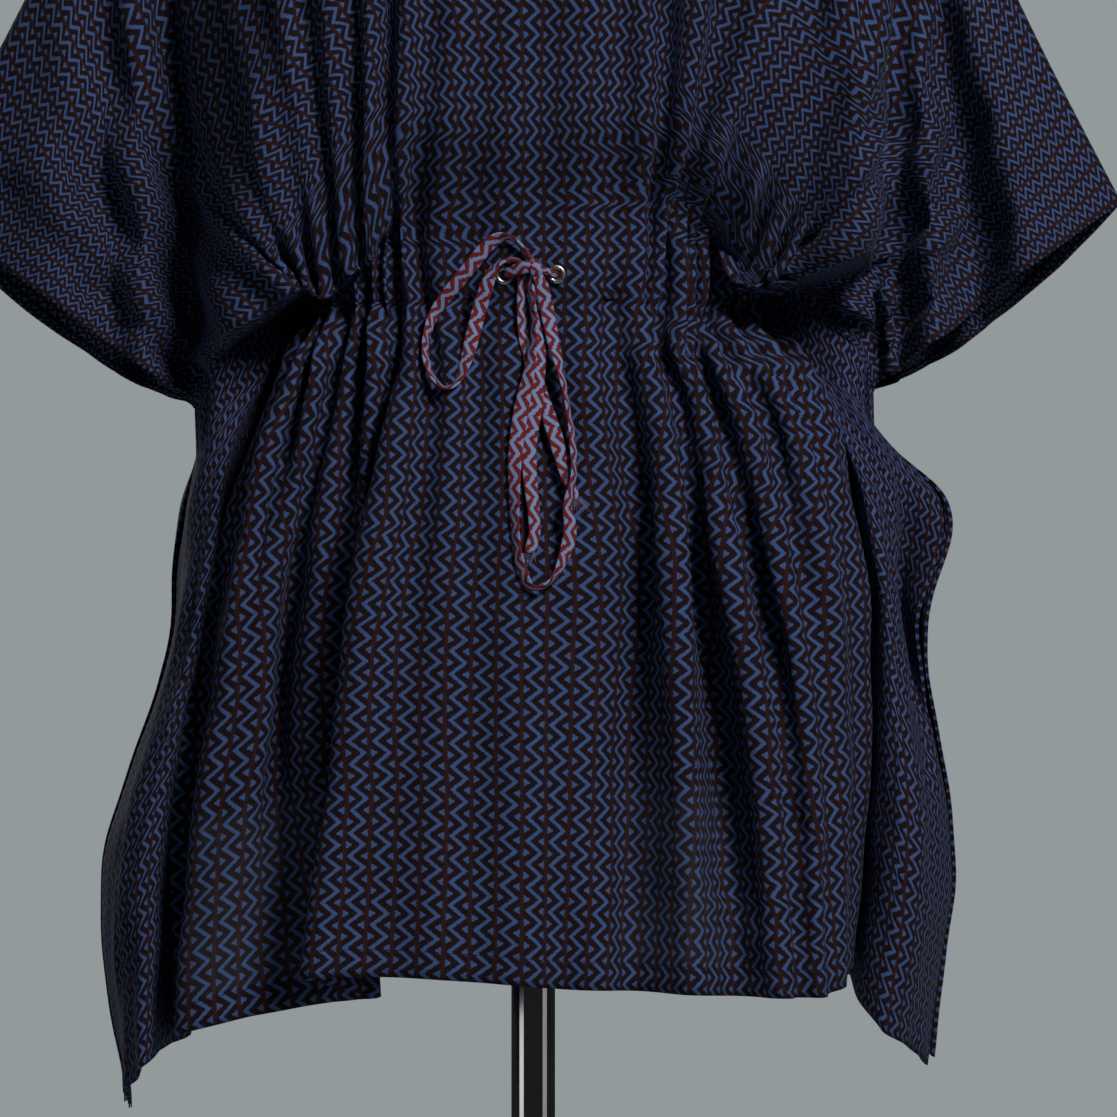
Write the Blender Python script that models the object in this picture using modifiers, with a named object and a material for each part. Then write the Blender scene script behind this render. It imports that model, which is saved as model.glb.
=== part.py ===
"""Short cotton kaftan with a drawn-in waist, standing on a limbless dress form.

Frame: origin at the centre of the base's underside, +Z up, +X to the viewer's right,
-Y towards the viewer. The garment is two flat panels, front and back, joined along the
shoulders and down two stitch lines set in from the side edges. A point of a panel is
named by its place on the flat cloth: across, from the centre line, and down, from the
shoulder line. Tables below are in millimetres unless a name says otherwise.
"""
import math

import bmesh
import bpy
import numpy as np

MM = 0.001

# ---- driving dimensions, metres ------------------------------------------------------
PANEL_HALF_WIDTH = 0.56
PANEL_LENGTH = 0.84
STITCH_ACROSS = 0.36
CASING_TOP_DOWN = 0.405
CASING_BOTTOM_DOWN = 0.437
CASING_TOP_Z = 1.055
CASING_BOTTOM_Z = 1.024
NECK_HALF_WIDTH = 0.095
NECK_DEPTH_FRONT = 0.13
NECK_DEPTH_BACK = 0.035
CLOTH_WALL = 0.0012
SEAM_GAP = 0.0003
WAIST_HALF_WIDTH = 0.1215
WAIST_HALF_DEPTH = 0.0955
FLAT_FRONT_ACROSS = 0.07
GATHERS_PER_QUARTER = 10
GATHER_DEPTH = 0.0030
CHEST_DOWN = 0.24
BACK_DOWN = 0.20

EYELET_PLACES = ((-0.0165, 1.0375), (0.0135, 1.0380))
EYELET_RADIUS = 0.0055
EYELET_HOLE_RADIUS = 0.0027
EYELET_HEIGHT = 0.0016
EYELET_PROFILE_SIDES = 6
EYELET_SEGMENTS = 20

TAPE_CORE_RADIUS = 0.0014
TAPE_POINT_SPACING = 0.0082
TAPE_BEVEL_STEPS = 1
KNOT_OUT = 8.0
KNOT_HALF_SIZE = (0.0065, 0.0055, 0.0045)

CASING_CLEARANCE = 0.0012
CASING_SIDES = 48
FORM_SIDES = 32
TURNED_SEGMENTS = 28
BASE_SEGMENTS = 48
NECK_CAP_RADIUS = 0.056

POLE_RADIUS = 0.0128
BASE_RADIUS = 0.19
BASE_THICKNESS = 0.012
COLLAR_RADIUS = 0.030
COLLAR_HEIGHT = 0.045
FORM_BOTTOM_Z = 0.708

# ---- rows of the cloth, metres down from the shoulder line --------------------------------
ROWS_ABOVE = (0.0, 0.018, 0.05, 0.10, 0.15, 0.20, 0.25, 0.295, 0.335, 0.368, 0.388)
ROWS_BELOW = (0.449, 0.470, 0.505, 0.56, 0.63, 0.70, 0.77)
MIDDLE_COLUMNS = 4
COLUMNS_PER_GATHER = 2
WING_COLUMNS = 14

# ---- how the grain of one half panel runs above the waist ------------------------------------
# Each grain line leaves the top line, bends past a bow point and ends at waist height.
GRAIN_COLUMNS = ("across", "top_x", "top_z", "bow_x", "bow_z", "waist_x", "waist_y", "waist_z")
GRAIN_RIGHT = (
    (0, 0, 1462, 0, 1258, 0, -95, 1055),
    (70, 72, 1456, 70, 1252, 68, -80, 1055),
    (140, 140, 1441, 120, 1200, 92, -62, 1052),
    (180, 180, 1425, 150, 1165, 102, -50, 1050),
    (230, 203, 1383, 180, 1120, 112, -36, 1046),
    (290, 227, 1324, 205, 1085, 119, -20, 1041),
    (360, 255, 1261, 222, 1070, 124, 0, 1036),
    (460, 298, 1171, 240, 1062, 182, -40, 1000),
    (560, 344, 1082, 272, 1034, 199, -6, 972),
)
GRAIN_LEFT = (
    (0, 0, 1462, 0, 1258, 0, -95, 1055),
    (70, -72, 1456, -70, 1252, -68, -80, 1055),
    (140, -140, 1441, -112, 1190, -92, -62, 1052),
    (180, -180, 1425, -135, 1140, -102, -50, 1050),
    (230, -204, 1379, -165, 1080, -112, -36, 1046),
    (290, -232, 1327, -200, 1040, -119, -20, 1041),
    (360, -266, 1263, -215, 1035, -124, 0, 1036),
    (460, -312, 1172, -240, 1040, -180, -36, 990),
    (560, -362, 1082, -275, 1020, -196, -4, 962),
)

# ---- the standing folds between body and sleeve, at three heights --------------------------------
# x at each height, and how far the cloth stands out from the middle plane there.
FOLD_HEIGHTS = (1040, 1111, 1198)
FOLD_SOFTENING = (-11, 0, 11)
# columns: x_low, x_mid, x_high, out_low, out_mid, out_high
BODY_RIGHT = (
    (0, 0, 0, 112, 122, 133),
    (75, 85, 95, 108, 122, 132),
    (150, 160, 160, 100, 112, 118),
    (197, 200, 204, 80, 92, 100),
    (207, 210, 212, 32, 38, 45),
    (236, 231, 222, 52, 58, 60),
    (274, 254, 236, 6, 8, 12),
    (300, 288, 262, 36, 52, 56),
    (330, 322, 285, 20, 34, 40),
    (380, 380, 340, 0, 0, 0),
)
BODY_LEFT = (
    (0, 0, 0, 112, 122, 133),
    (-75, -85, -80, 108, 122, 130),
    (-130, -125, -110, 104, 116, 124),
    (-164, -160, -142, 92, 106, 108),
    (-188, -186, -186, 55, 60, 62),
    (-197, -206, -216, 4, 6, 8),
    (-226, -230, -234, 44, 48, 46),
    (-243, -247, -251, 26, 26, 24),
    (-275, -276, -272, 46, 54, 52),
    (-320, -318, -300, 26, 34, 36),
    (-380, -380, -360, 0, 0, 0),
)

# ---- narrow valleys that rise from the waist gathers into the bodice --------------------------------
# columns: x_waist, x_mid, x_high, width, depth; x at the three heights below
VALLEY_HEIGHTS = (1055, 1111, 1198)
VALLEY_FADE_HEIGHT = 170
BODICE_VALLEYS = (
    (-122, -127, -132, 7, 22),
    (-103, -102, -106, 6, 22),
    (-83, -82, -86, 6, 20),
    (-73, -69, -60, 7, 16),
    (-36, -33, -26, 9, 9),
    (3, 2, 2, 12, 4),
    (48, 50, 52, 6, 11),
    (66, 71, 70, 6, 14),
    (84, 95, 112, 8, 22),
    (112, 122, 128, 9, 6),
)
BACK_VALLEYS = (
    (-112, -126, -140, 9, 20),
    (-92, -100, -108, 7, 22),
    (-70, -74, -80, 7, 18),
    (-44, -46, -50, 8, 15),
    (-18, -20, -20, 7, 18),
    (12, 13, 12, 9, 14),
    (36, 38, 42, 7, 18),
    (62, 66, 74, 8, 17),
    (88, 96, 104, 7, 22),
    (110, 122, 134, 9, 18),
)

# ---- folds of the skirt, one row for each ridge and valley -----------------------------------
# x and out (towards the viewer from the middle plane) at four distances down the cloth.
SKIRT_LEVELS = (0.475, 0.56, 0.70, 0.84)
# columns: across, hem_z, x_high, out_high, x_hip, out_hip, x_thigh, out_thigh, x_hem, out_hem
SKIRT_FRONT = (
    (-560, 553, -202, -4, -203, 0, -227, 5, -233, 10),
    (-505, 564, -198, 30, -203, 42, -223, 50, -236, 46),
    (-440, 580, -180, 44, -192, 62, -214, 66, -226, 78),
    (-400, 590, -166, 22, -182, 34, -207, 40, -214, 50),
    (-360, 596, -146, 0, -168, 4, -203, 6, -201, 12),
    (-335, 597, -149, 32, -184, 40, -210, 46, -207, 55),
    (-315, 597, -145, 46, -177, 50, -196, 50, -200, 60),
    (-285, 598, -138, 68, -164, 88, -189, 92, -209, 98),
    (-245, 608, -127, 78, -147, 94, -160, 90, -170, 98),
    (-215, 614, -118, 70, -133, 76, -145, 70, -140, 92),
    (-185, 618, -106, 88, -116, 106, -130, 100, -115, 94),
    (-150, 621, -88, 84, -92, 92, -98, 88, -98, 100),
    (-108, 633, -80, 106, -89, 124, -104, 128, -121, 140),
    (-72, 634, -60, 110, -66, 130, -74, 140, -80, 149),
    (-30, 631, -28, 112, -28, 133, -30, 143, -30, 151),
    (20, 627, 20, 111, 20, 132, 20, 141, 20, 150),
    (64, 626, 53, 101, 60, 112, 56, 118, 57, 139),
    (102, 624, 76, 111, 80, 130, 88, 142, 92, 152),
    (132, 623, 88, 94, 92, 104, 108, 114, 118, 139),
    (160, 622, 102, 104, 108, 124, 130, 135, 143, 147),
    (186, 622, 112, 90, 124, 104, 144, 124, 156, 136),
    (215, 622, 128, 92, 140, 119, 158, 128, 166, 132),
    (260, 626, 146, 72, 166, 106, 176, 106, 176, 112),
    (310, 635, 156, 38, 186, 62, 193, 66, 184, 66),
    (360, 643, 158, 4, 184, 6, 187, 8, 180, 14),
    (400, 620, 172, 36, 199, 58, 200, 60, 189, 58),
    (445, 602, 188, 40, 209, 42, 212, 84, 201, 82),
    (505, 588, 206, 18, 217, -8, 226, 58, 216, 48),
    (560, 578, 220, 6, 224, 12, 230, 8, 222, 10),
)
SKIRT_BACK = (
    (-560, 556, -206, 12, -208, 12, -231, 8, -237, 6),
    (-500, 566, -204, 38, -210, 48, -228, 52, -238, 50),
    (-440, 580, -186, 46, -196, 64, -216, 68, -224, 76),
    (-400, 590, -166, 24, -184, 36, -208, 42, -213, 50),
    (-360, 596, -146, 0, -168, -4, -203, -6, -201, -12),
    (-320, 600, -152, 46, -178, 56, -204, 58, -206, 56),
    (-275, 606, -136, 72, -156, 92, -176, 100, -186, 104),
    (-240, 612, -120, 68, -136, 78, -152, 84, -162, 96),
    (-205, 618, -108, 90, -122, 112, -136, 118, -144, 124),
    (-170, 622, -90, 82, -98, 92, -108, 96, -116, 104),
    (-135, 625, -76, 104, -84, 126, -92, 134, -98, 142),
    (-100, 625, -58, 96, -60, 106, -64, 110, -70, 122),
    (-65, 624, -40, 110, -42, 132, -46, 144, -48, 152),
    (-28, 622, -18, 98, -18, 110, -20, 116, -20, 130),
    (8, 621, 6, 112, 6, 134, 6, 146, 8, 154),
    (44, 622, 28, 98, 28, 110, 30, 114, 34, 128),
    (80, 624, 48, 109, 52, 131, 58, 142, 62, 150),
    (116, 625, 68, 94, 72, 104, 80, 108, 86, 120),
    (150, 625, 86, 101, 94, 122, 104, 130, 112, 138),
    (185, 624, 102, 82, 110, 92, 122, 98, 130, 108),
    (220, 624, 116, 86, 130, 108, 146, 114, 152, 120),
    (255, 626, 132, 66, 148, 76, 164, 82, 168, 92),
    (305, 634, 152, 50, 178, 64, 188, 66, 184, 64),
    (360, 643, 158, -4, 184, -6, 187, -8, 180, -14),
    (400, 622, 172, 26, 198, 44, 202, 50, 192, 56),
    (445, 604, 188, 34, 212, 46, 216, 74, 206, 78),
    (505, 592, 210, 28, 222, 34, 230, 58, 222, 50),
    (560, 582, 226, 10, 230, 6, 234, 6, 228, 6),
)

# ---- the dress form, bottom to top -------------------------------------------------------------
# columns: z, half_width, half_depth
FORM_SECTIONS = (
    (708, 150, 100),
    (716, 158, 106),
    (780, 160, 110),
    (860, 154, 106),
    (940, 130, 92),
    (1030, 108, 78),
    (1110, 122, 86),
    (1200, 142, 106),
    (1270, 148, 104),
    (1340, 155, 88),
    (1385, 156, 66),
    (1412, 140, 50),
    (1430, 100, 46),
    (1444, 66, 48),
    (1462, 55, 50),
)
NECK_TOP_Z = 1.520
NECK_CAP_HEIGHT = 0.010

# ---- the drawstring: a flat tube of cloth through the two eyelets, tied in a bow -------------------
# Each route starts at the knot. x and z as the bow hangs; out is the distance in front of
# the cloth under it. Columns: x, z, out.
KNOT_CENTRE = (-4.0, 1041.0)
LOOP_LEFT = (
    (-13.0, 1045.0, 8), (-17.5, 1053, 9), (-25.0, 1055, 9), (-35.0, 1044, 8),
    (-47.0, 1029, 7), (-57.0, 1015, 6), (-61.5, 1001, 5), (-61.5, 989, 5), (-57.0, 977.5, 5),
    (-50.0, 972, 5), (-43.5, 975.5, 5.5), (-39.0, 986, 6), (-35.0, 1001, 7),
    (-31.0, 1017, 9), (-25.0, 1031, 11), (-18.0, 1039, 11), (-11.0, 1041.5, 8),
)
LOOP_RIGHT = (
    (5.0, 1038.5, 9), (7.5, 1030, 10), (9.0, 1017, 9), (12.0, 998, 8), (16.0, 982, 7),
    (20.0, 962, 7), (23.0, 941, 7), (23.5, 922, 7.5), (20.0, 905, 7.5), (21.5, 893, 6.5),
    (20.0, 881, 5), (14.0, 866, 5), (7.0, 858.5, 5.5), (-0.5, 857.5, 6), (-6.0, 867, 6.5),
    (-9.5, 884, 7), (-10.5, 908, 7.5), (-10.0, 934, 8), (-7.0, 958, 9), (-2.5, 980, 11),
    (0.5, 1000, 12.5), (0.5, 1015, 14), (-2.0, 1026, 13), (-4.0, 1032.5, 10),
)
STUB_LEFT = (
    (-16.5, 1037.5, 0.9), (-15.6, 1037.5, 3.3), (-12.8, 1038, 4.2), (-11.0, 1038.6, 4.6),
)
STUB_RIGHT = (
    (13.5, 1038, 0.9), (12.6, 1038, 3.4), (8.5, 1038.5, 4.4), (4.0, 1039.2, 4.8),
)
TAIL_LEFT = (
    (-0.5, 1032.0, 5), (1.5, 1018, 6), (3.8, 1000, 7), (3.5, 980, 7), (1.0, 960, 6),
    (-2.0, 940, 4.5), (-1.5, 920, 3.5), (0.5, 902, 3.5), (1.0, 888, 3.5), (-2.0, 877, 3.5),
)
TAIL_RIGHT = (
    (-7.5, 1032.5, 4.5), (-8.0, 1019, 4), (-5.0, 1001, 3), (0.0, 983, 3), (7.0, 962, 3),
    (13.0, 944, 3), (18.0, 926, 3), (24.5, 908, 3),
)


def remove_everything():
    for item in list(bpy.data.objects):
        bpy.data.objects.remove(item, do_unlink=True)


def collection(name):
    group = bpy.data.collections.new(name)
    bpy.context.scene.collection.children.link(group)
    return group


def material(name, colour, roughness, metallic=0.0):
    made = bpy.data.materials.new(name)
    made.use_nodes = True
    shader = made.node_tree.nodes["Principled BSDF"]
    shader.inputs["Base Color"].default_value = (*colour, 1.0)
    shader.inputs["Roughness"].default_value = roughness
    shader.inputs["Metallic"].default_value = metallic
    return made


def through(keys, values, at):
    """Smooth curve through the values at rising keys, held flat outside them."""
    keys = np.asarray(keys, float)
    values = np.asarray(values, float)
    at = np.clip(np.asarray(at, float), keys[0], keys[-1])
    slope = np.diff(values) / np.diff(keys)
    tangent = np.empty_like(values)
    tangent[0] = slope[0]
    tangent[-1] = slope[-1]
    tangent[1:-1] = 0.5 * (slope[:-1] + slope[1:])
    span = np.clip(np.searchsorted(keys, at, side="right") - 1, 0, len(keys) - 2)
    width = keys[span + 1] - keys[span]
    t = (at - keys[span]) / width
    blend_start = 2 * t**3 - 3 * t**2 + 1
    blend_end = 3 * t**2 - 2 * t**3
    lean_start = (t**3 - 2 * t**2 + t) * width
    lean_end = (t**3 - t**2) * width
    return (blend_start * values[span] + blend_end * values[span + 1]
            + lean_start * tangent[span] + lean_end * tangent[span + 1])


def ease(t):
    t = np.clip(t, 0.0, 1.0)
    return t * t * (3 - 2 * t)


def column(table, names, name):
    return np.array([row[names.index(name)] for row in table], float)


def waist_ring(across):
    """Place on the drawn-in waist, in mm, for cloth distances across in metres."""
    angle = np.linspace(0.0, math.pi / 2, 181)
    x = WAIST_HALF_WIDTH * np.sin(angle)
    out = WAIST_HALF_DEPTH * np.cos(angle)
    arc = np.concatenate(([0.0], np.cumsum(np.hypot(np.diff(x), np.diff(out)))))
    along = np.interp(
        np.abs(across),
        (0.0, FLAT_FRONT_ACROSS, STITCH_ACROSS),
        (0.0, FLAT_FRONT_ACROSS, arc[-1]))
    turn = np.interp(along, arc, angle)
    x = np.sign(across) * WAIST_HALF_WIDTH * np.sin(turn)
    out = WAIST_HALF_DEPTH * np.cos(turn)
    return x / MM, out / MM, np.sign(across) * turn


def gather(across, down):
    """How far a gather stands out from the smooth cloth, in mm."""
    depth_along = np.where(
        down < CASING_TOP_DOWN, 1 - ease((CASING_TOP_DOWN - down) / 0.055),
        1 - ease((down - CASING_BOTTOM_DOWN) / 0.075))
    gathered = (STITCH_ACROSS - FLAT_FRONT_ACROSS) / GATHERS_PER_QUARTER
    place = (np.abs(across) - FLAT_FRONT_ACROSS) / gathered
    inside = (place > 0) & (place < GATHERS_PER_QUARTER)
    wave = 0.5 - 0.5 * np.cos(2 * math.pi * place)
    return np.where(inside, -GATHER_DEPTH / MM * wave * depth_along, 0.0)


def body_depth(x, z, table, sign):
    """Distance of the cloth from the middle plane, in mm, at a place seen from the front."""
    heights = np.asarray(FOLD_HEIGHTS, float)
    places = []
    outs = []
    held = np.clip(z, heights[0], heights[-1])
    for row in table:
        places.append(np.interp(held, heights, row[:3]) * sign)
        outs.append(np.interp(held, heights, row[3:]))
    softened = [float(through(places, outs, x * sign + shift)) for shift in FOLD_SOFTENING]
    return sum(softened) / len(softened)


def valley_depth(x, z, valleys):
    depth = 0.0
    fade = float(1 - 0.75 * ease((z - VALLEY_HEIGHTS[-1]) / VALLEY_FADE_HEIGHT))
    for x_waist, x_mid, x_high, width, deep in valleys:
        centre = float(through(VALLEY_HEIGHTS, (x_waist, x_mid, x_high), z))
        depth += deep * fade * math.exp(-((x - centre) / width) ** 2)
    return depth


def neck_down(across, neck_depth):
    part = np.clip(np.abs(across) / NECK_HALF_WIDTH, 0.0, 1.0)
    return neck_depth * np.sqrt(1 - part**2)


def above_waist(across, down, is_back):
    """Panel point above the waist: x, out, z in mm."""
    right = across >= 0
    grain = GRAIN_RIGHT if right else GRAIN_LEFT
    body = BODY_RIGHT if right else BODY_LEFT
    keys = column(grain, GRAIN_COLUMNS, "across")
    place = abs(across) / MM
    values = [float(through(keys, column(grain, GRAIN_COLUMNS, name), place))
              for name in GRAIN_COLUMNS[1:]]
    top_x, top_z, bow_x, bow_z, end_x, end_out, end_z = values
    wing = float(ease((abs(across) - STITCH_ACROSS) / 0.1))
    if is_back:
        bow_z -= 34 * wing
    t = down / CASING_TOP_DOWN
    x = (1 - t) ** 2 * top_x + 2 * t * (1 - t) * bow_x + t * t * end_x
    z = (1 - t) ** 2 * top_z + 2 * t * (1 - t) * bow_z + t * t * end_z
    if not right:
        pouch = float(ease((abs(across) - 0.17) / 0.1) * (1 - ease((abs(across) - 0.40) / 0.1)))
        z -= 26 * pouch * math.exp(-((down - 0.365) / 0.04) ** 2)
    sign = 1 if right else -1
    out = body_depth(x, z, body, sign)
    valleys = BACK_VALLEYS if is_back else BODICE_VALLEYS
    drawn_in = 1 - float(ease((down - 0.335) / 0.05))
    out -= drawn_in * valley_depth(x, z, valleys)
    round_down, fullness = (BACK_DOWN, 0.65) if is_back else (CHEST_DOWN, 0.75)
    out *= math.sin(0.5 * math.pi * min(down / round_down, 1.0)) ** fullness
    if is_back:
        out = 0.92 * out + 2.5
    ring_x, ring_out, turn = (float(part) for part in waist_ring(np.float64(across)))
    near = float(ease((down - 0.355) / (CASING_TOP_DOWN - 0.355)))
    if abs(across) <= STITCH_ACROSS:
        bump = float(gather(across, down))
        goal = (ring_x + bump * math.sin(turn), ring_out + bump * math.cos(turn),
                CASING_TOP_Z / MM)
    else:
        goal = (end_x, -end_out, end_z)
    return tuple(a + (b - a) * near for a, b in zip((x, out, z), goal))


def wing_root(across, grain):
    keys = column(grain, GRAIN_COLUMNS, "across")
    place = abs(across) / MM
    return [float(through(keys, column(grain, GRAIN_COLUMNS, name), place))
            for name in ("waist_x", "waist_y", "waist_z")]


def below_waist_line(row):
    """Keys of one skirt fold down the cloth: distances down, x, out and z."""
    across = row[0] * MM
    hem_z = row[1]
    xs = list(row[2::2])
    outs = list(row[3::2])
    if abs(across) <= STITCH_ACROSS + 1e-6:
        ring_x, ring_out, _ = (float(part) for part in waist_ring(np.float64(across)))
        start = (ring_x, ring_out, CASING_BOTTOM_Z / MM)
    else:
        x, y, z = wing_root(across, GRAIN_RIGHT if across > 0 else GRAIN_LEFT)
        start = (x, -y, z - 28)
    levels = (CASING_BOTTOM_DOWN,) + SKIRT_LEVELS
    part = (np.array(levels) - levels[0]) / (levels[-1] - levels[0])
    return (levels, [start[0]] + xs, [start[1]] + outs, start[2] + (hem_z - start[2]) * part)


def below_waist(across, down, level):
    keys, xs, outs, zs = level
    place = across / MM
    x = float(through(keys, xs, place))
    out = float(through(keys, outs, place))
    z = float(through(keys, zs, place))
    if abs(across) <= STITCH_ACROSS:
        ring_x, ring_out, turn = (float(part) for part in waist_ring(np.float64(across)))
        bump = float(gather(across, down))
        free = float(ease((down - CASING_BOTTOM_DOWN) / 0.03))
        x = ring_x + free * (x - ring_x) + bump * math.sin(turn)
        out = ring_out + free * (out - ring_out) + bump * math.cos(turn)
    return x, out, z


def skirt_lines(table):
    keys = [row[0] for row in table]
    folds = [below_waist_line(row) for row in table]

    def at(down):
        xs = [float(through(levels, x, down)) for levels, x, _, _ in folds]
        outs = [float(through(levels, out, down)) for levels, _, out, _ in folds]
        zs = [float(through(levels, z, down)) for levels, _, _, z in folds]
        return keys, xs, outs, zs

    return at


def across_stations():
    """Columns of the wall across one half of a panel, metres."""
    middle = np.linspace(0.0, FLAT_FRONT_ACROSS, MIDDLE_COLUMNS + 1)
    gather_steps = COLUMNS_PER_GATHER * GATHERS_PER_QUARTER
    gathered = np.linspace(FLAT_FRONT_ACROSS, STITCH_ACROSS, gather_steps + 1)[1:]
    wing = np.linspace(STITCH_ACROSS, PANEL_HALF_WIDTH, WING_COLUMNS + 1)[1:]
    half = np.concatenate((middle, gathered, wing))
    return np.concatenate((-half[:0:-1], half))


def panel_points(is_back):
    neck_depth = NECK_DEPTH_BACK if is_back else NECK_DEPTH_FRONT
    lines = skirt_lines(SKIRT_BACK if is_back else SKIRT_FRONT)
    facing = 1.0 if is_back else -1.0
    away = 0.5 * (CLOTH_WALL + SEAM_GAP) / MM
    stations = across_stations()
    rows = []
    above = list(ROWS_ABOVE) + [CASING_TOP_DOWN]
    below = [CASING_BOTTOM_DOWN] + list(ROWS_BELOW) + [PANEL_LENGTH]
    for level in above:
        row = []
        for across in stations:
            start = float(neck_down(across, neck_depth))
            down = start + (CASING_TOP_DOWN - start) * level / CASING_TOP_DOWN
            row.append(above_waist(across, down, is_back))
        rows.append(row)
    for level in below:
        folds = lines(level)
        rows.append([below_waist(across, level, folds) for across in stations])
    points = []
    for row in rows:
        points.append([(x * MM, facing * (out + away) * MM, z * MM) for x, out, z in row])
    return points


def wall_from_rows(name, rows, group, skin, wall, closed=False):
    """A sheet of points, given its thickness to both sides alike."""
    mesh = bpy.data.meshes.new(name)
    shape = bmesh.new()
    grid = [[shape.verts.new(point) for point in row] for row in rows]
    if closed:
        grid = [row + row[:1] for row in grid]
    for upper, lower in zip(grid, grid[1:]):
        for a, b, c, d in zip(upper, upper[1:], lower[1:], lower):
            shape.faces.new((a, d, c, b))
    bmesh.ops.recalc_face_normals(shape, faces=shape.faces)
    shape.to_mesh(mesh)
    shape.free()
    mesh.materials.append(skin)
    item = bpy.data.objects.new(name, mesh)
    group.objects.link(item)
    thickness = item.modifiers.new("cloth wall", "SOLIDIFY")
    thickness.thickness = wall
    thickness.offset = 0.0
    mesh.shade_smooth()
    return item


def casing_strip(group, skin):
    """The strip sewn behind the waist that holds the drawstring: a plain oval band."""
    inside = GATHER_DEPTH + CASING_CLEARANCE
    rows = []
    for z in (CASING_TOP_Z, CASING_BOTTOM_Z):
        row = []
        for step in range(CASING_SIDES):
            angle = 2 * math.pi * step / CASING_SIDES
            row.append(((WAIST_HALF_WIDTH - inside) * math.sin(angle),
                        -(WAIST_HALF_DEPTH - inside) * math.cos(angle), z))
        rows.append(row)
    return wall_from_rows("waist_casing", rows, group, skin, CLOTH_WALL, closed=True)


def front_face():
    """How far the front of the cloth stands out under the bow, from x and z in mm."""
    lines = skirt_lines(SKIRT_FRONT)
    face = CLOTH_WALL + 0.5 * SEAM_GAP
    places = np.linspace(-0.07, 0.05, 13)
    downs = np.concatenate((np.linspace(0.36, CASING_BOTTOM_DOWN, 8),
                            np.linspace(CASING_BOTTOM_DOWN + 0.012, 0.70, 16)))
    heights = []
    outs = []
    for down in downs:
        spots = []
        for across in places:
            if down <= CASING_TOP_DOWN:
                spots.append(above_waist(across, down, False))
            elif down <= CASING_BOTTOM_DOWN:
                ring_x, ring_out, _ = (float(part) for part in waist_ring(np.float64(across)))
                part = (down - CASING_TOP_DOWN) / (CASING_BOTTOM_DOWN - CASING_TOP_DOWN)
                z = CASING_TOP_Z + part * (CASING_BOTTOM_Z - CASING_TOP_Z)
                spots.append((ring_x, ring_out, z / MM))
            else:
                spots.append(below_waist(across, down, lines(down)))
        heights.append(float(np.mean([spot[2] for spot in spots])))
        outs.append(([spot[0] for spot in spots], [spot[1] for spot in spots]))

    def at(x, z):
        level = np.interp(-z, [-height for height in heights], range(len(heights)))
        low = int(math.floor(level))
        high = min(low + 1, len(heights) - 1)
        part = level - low
        below, above = (float(np.interp(x, *outs[row])) for row in (low, high))
        return (1 - part) * below + part * above + face / MM

    return at


def smooth_route(points, spacing):
    """Evenly spaced points on a smooth curve through a route's own points."""
    route = [np.array(point, float) for point in points]
    dense = []
    padded = [2 * route[0] - route[1]] + route + [2 * route[-1] - route[-2]]
    for before, start, end, after in zip(padded, padded[1:], padded[2:], padded[3:]):
        for step in range(12):
            t = step / 12
            dense.append(0.5 * (2 * start + (end - before) * t
                                + (2 * before - 5 * start + 4 * end - after) * t**2
                                + (3 * start - before - 3 * end + after) * t**3))
    dense.append(route[-1])
    dense = np.array(dense)
    lengths = np.concatenate(([0.0], np.cumsum(np.linalg.norm(np.diff(dense, axis=0), axis=1))))
    count = max(4, int(round(lengths[-1] / spacing)) + 1)
    at = np.linspace(0.0, lengths[-1], count)
    return np.stack([np.interp(at, lengths, dense[:, axis]) for axis in range(3)], axis=1)


def drawstring_run(name, route, face, group, skin):
    """One hanging run of the drawstring, its places measured out from the cloth."""
    placed = [(x * MM, -(face(x, z) + out) * MM, z * MM) for x, z, out in route]
    data = bpy.data.curves.new(name, "CURVE")
    data.dimensions = "3D"
    data.bevel_depth = TAPE_CORE_RADIUS
    data.bevel_resolution = TAPE_BEVEL_STEPS
    data.use_fill_caps = True
    points = smooth_route(placed, TAPE_POINT_SPACING)
    spline = data.splines.new("POLY")
    spline.points.add(len(points) - 1)
    for spot, point in zip(spline.points, points):
        spot.co = (*point, 1.0)
    data.materials.append(skin)
    item = bpy.data.objects.new(name, data)
    group.objects.link(item)
    return item


def knot(face, group, skin):
    x, z = KNOT_CENTRE
    place = (x * MM, -(face(x, z) + KNOT_OUT) * MM, z * MM)
    bpy.ops.mesh.primitive_uv_sphere_add(segments=16, ring_count=8, radius=1.0, location=place)
    item = bpy.context.object
    item.name = "drawstring_knot"
    item.data.name = item.name
    item.scale = KNOT_HALF_SIZE
    adopt(item, group, skin)
    return item


def adopt(item, group, skin):
    """Puts a primitive into the object's collection with its own material."""
    for other in list(item.users_collection):
        other.objects.unlink(item)
    group.objects.link(item)
    item.data.materials.clear()
    item.data.materials.append(skin)


def turned(name, profile, group, skin, segments):
    """A turned piece: its profile, top to bottom, swept round the Z axis."""
    mesh = bpy.data.meshes.new(name)
    shape = bmesh.new()
    spots = [shape.verts.new((radius, 0.0, z)) for radius, z in profile]
    for start, end in zip(spots, spots[1:]):
        shape.edges.new((start, end))
    shape.to_mesh(mesh)
    shape.free()
    mesh.materials.append(skin)
    item = bpy.data.objects.new(name, mesh)
    group.objects.link(item)
    sweep = item.modifiers.new("turn", "SCREW")
    sweep.steps = segments
    sweep.render_steps = segments
    sweep.use_merge_vertices = True
    sweep.merge_threshold = 0.00001
    sweep.use_smooth_shade = True
    return item


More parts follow.
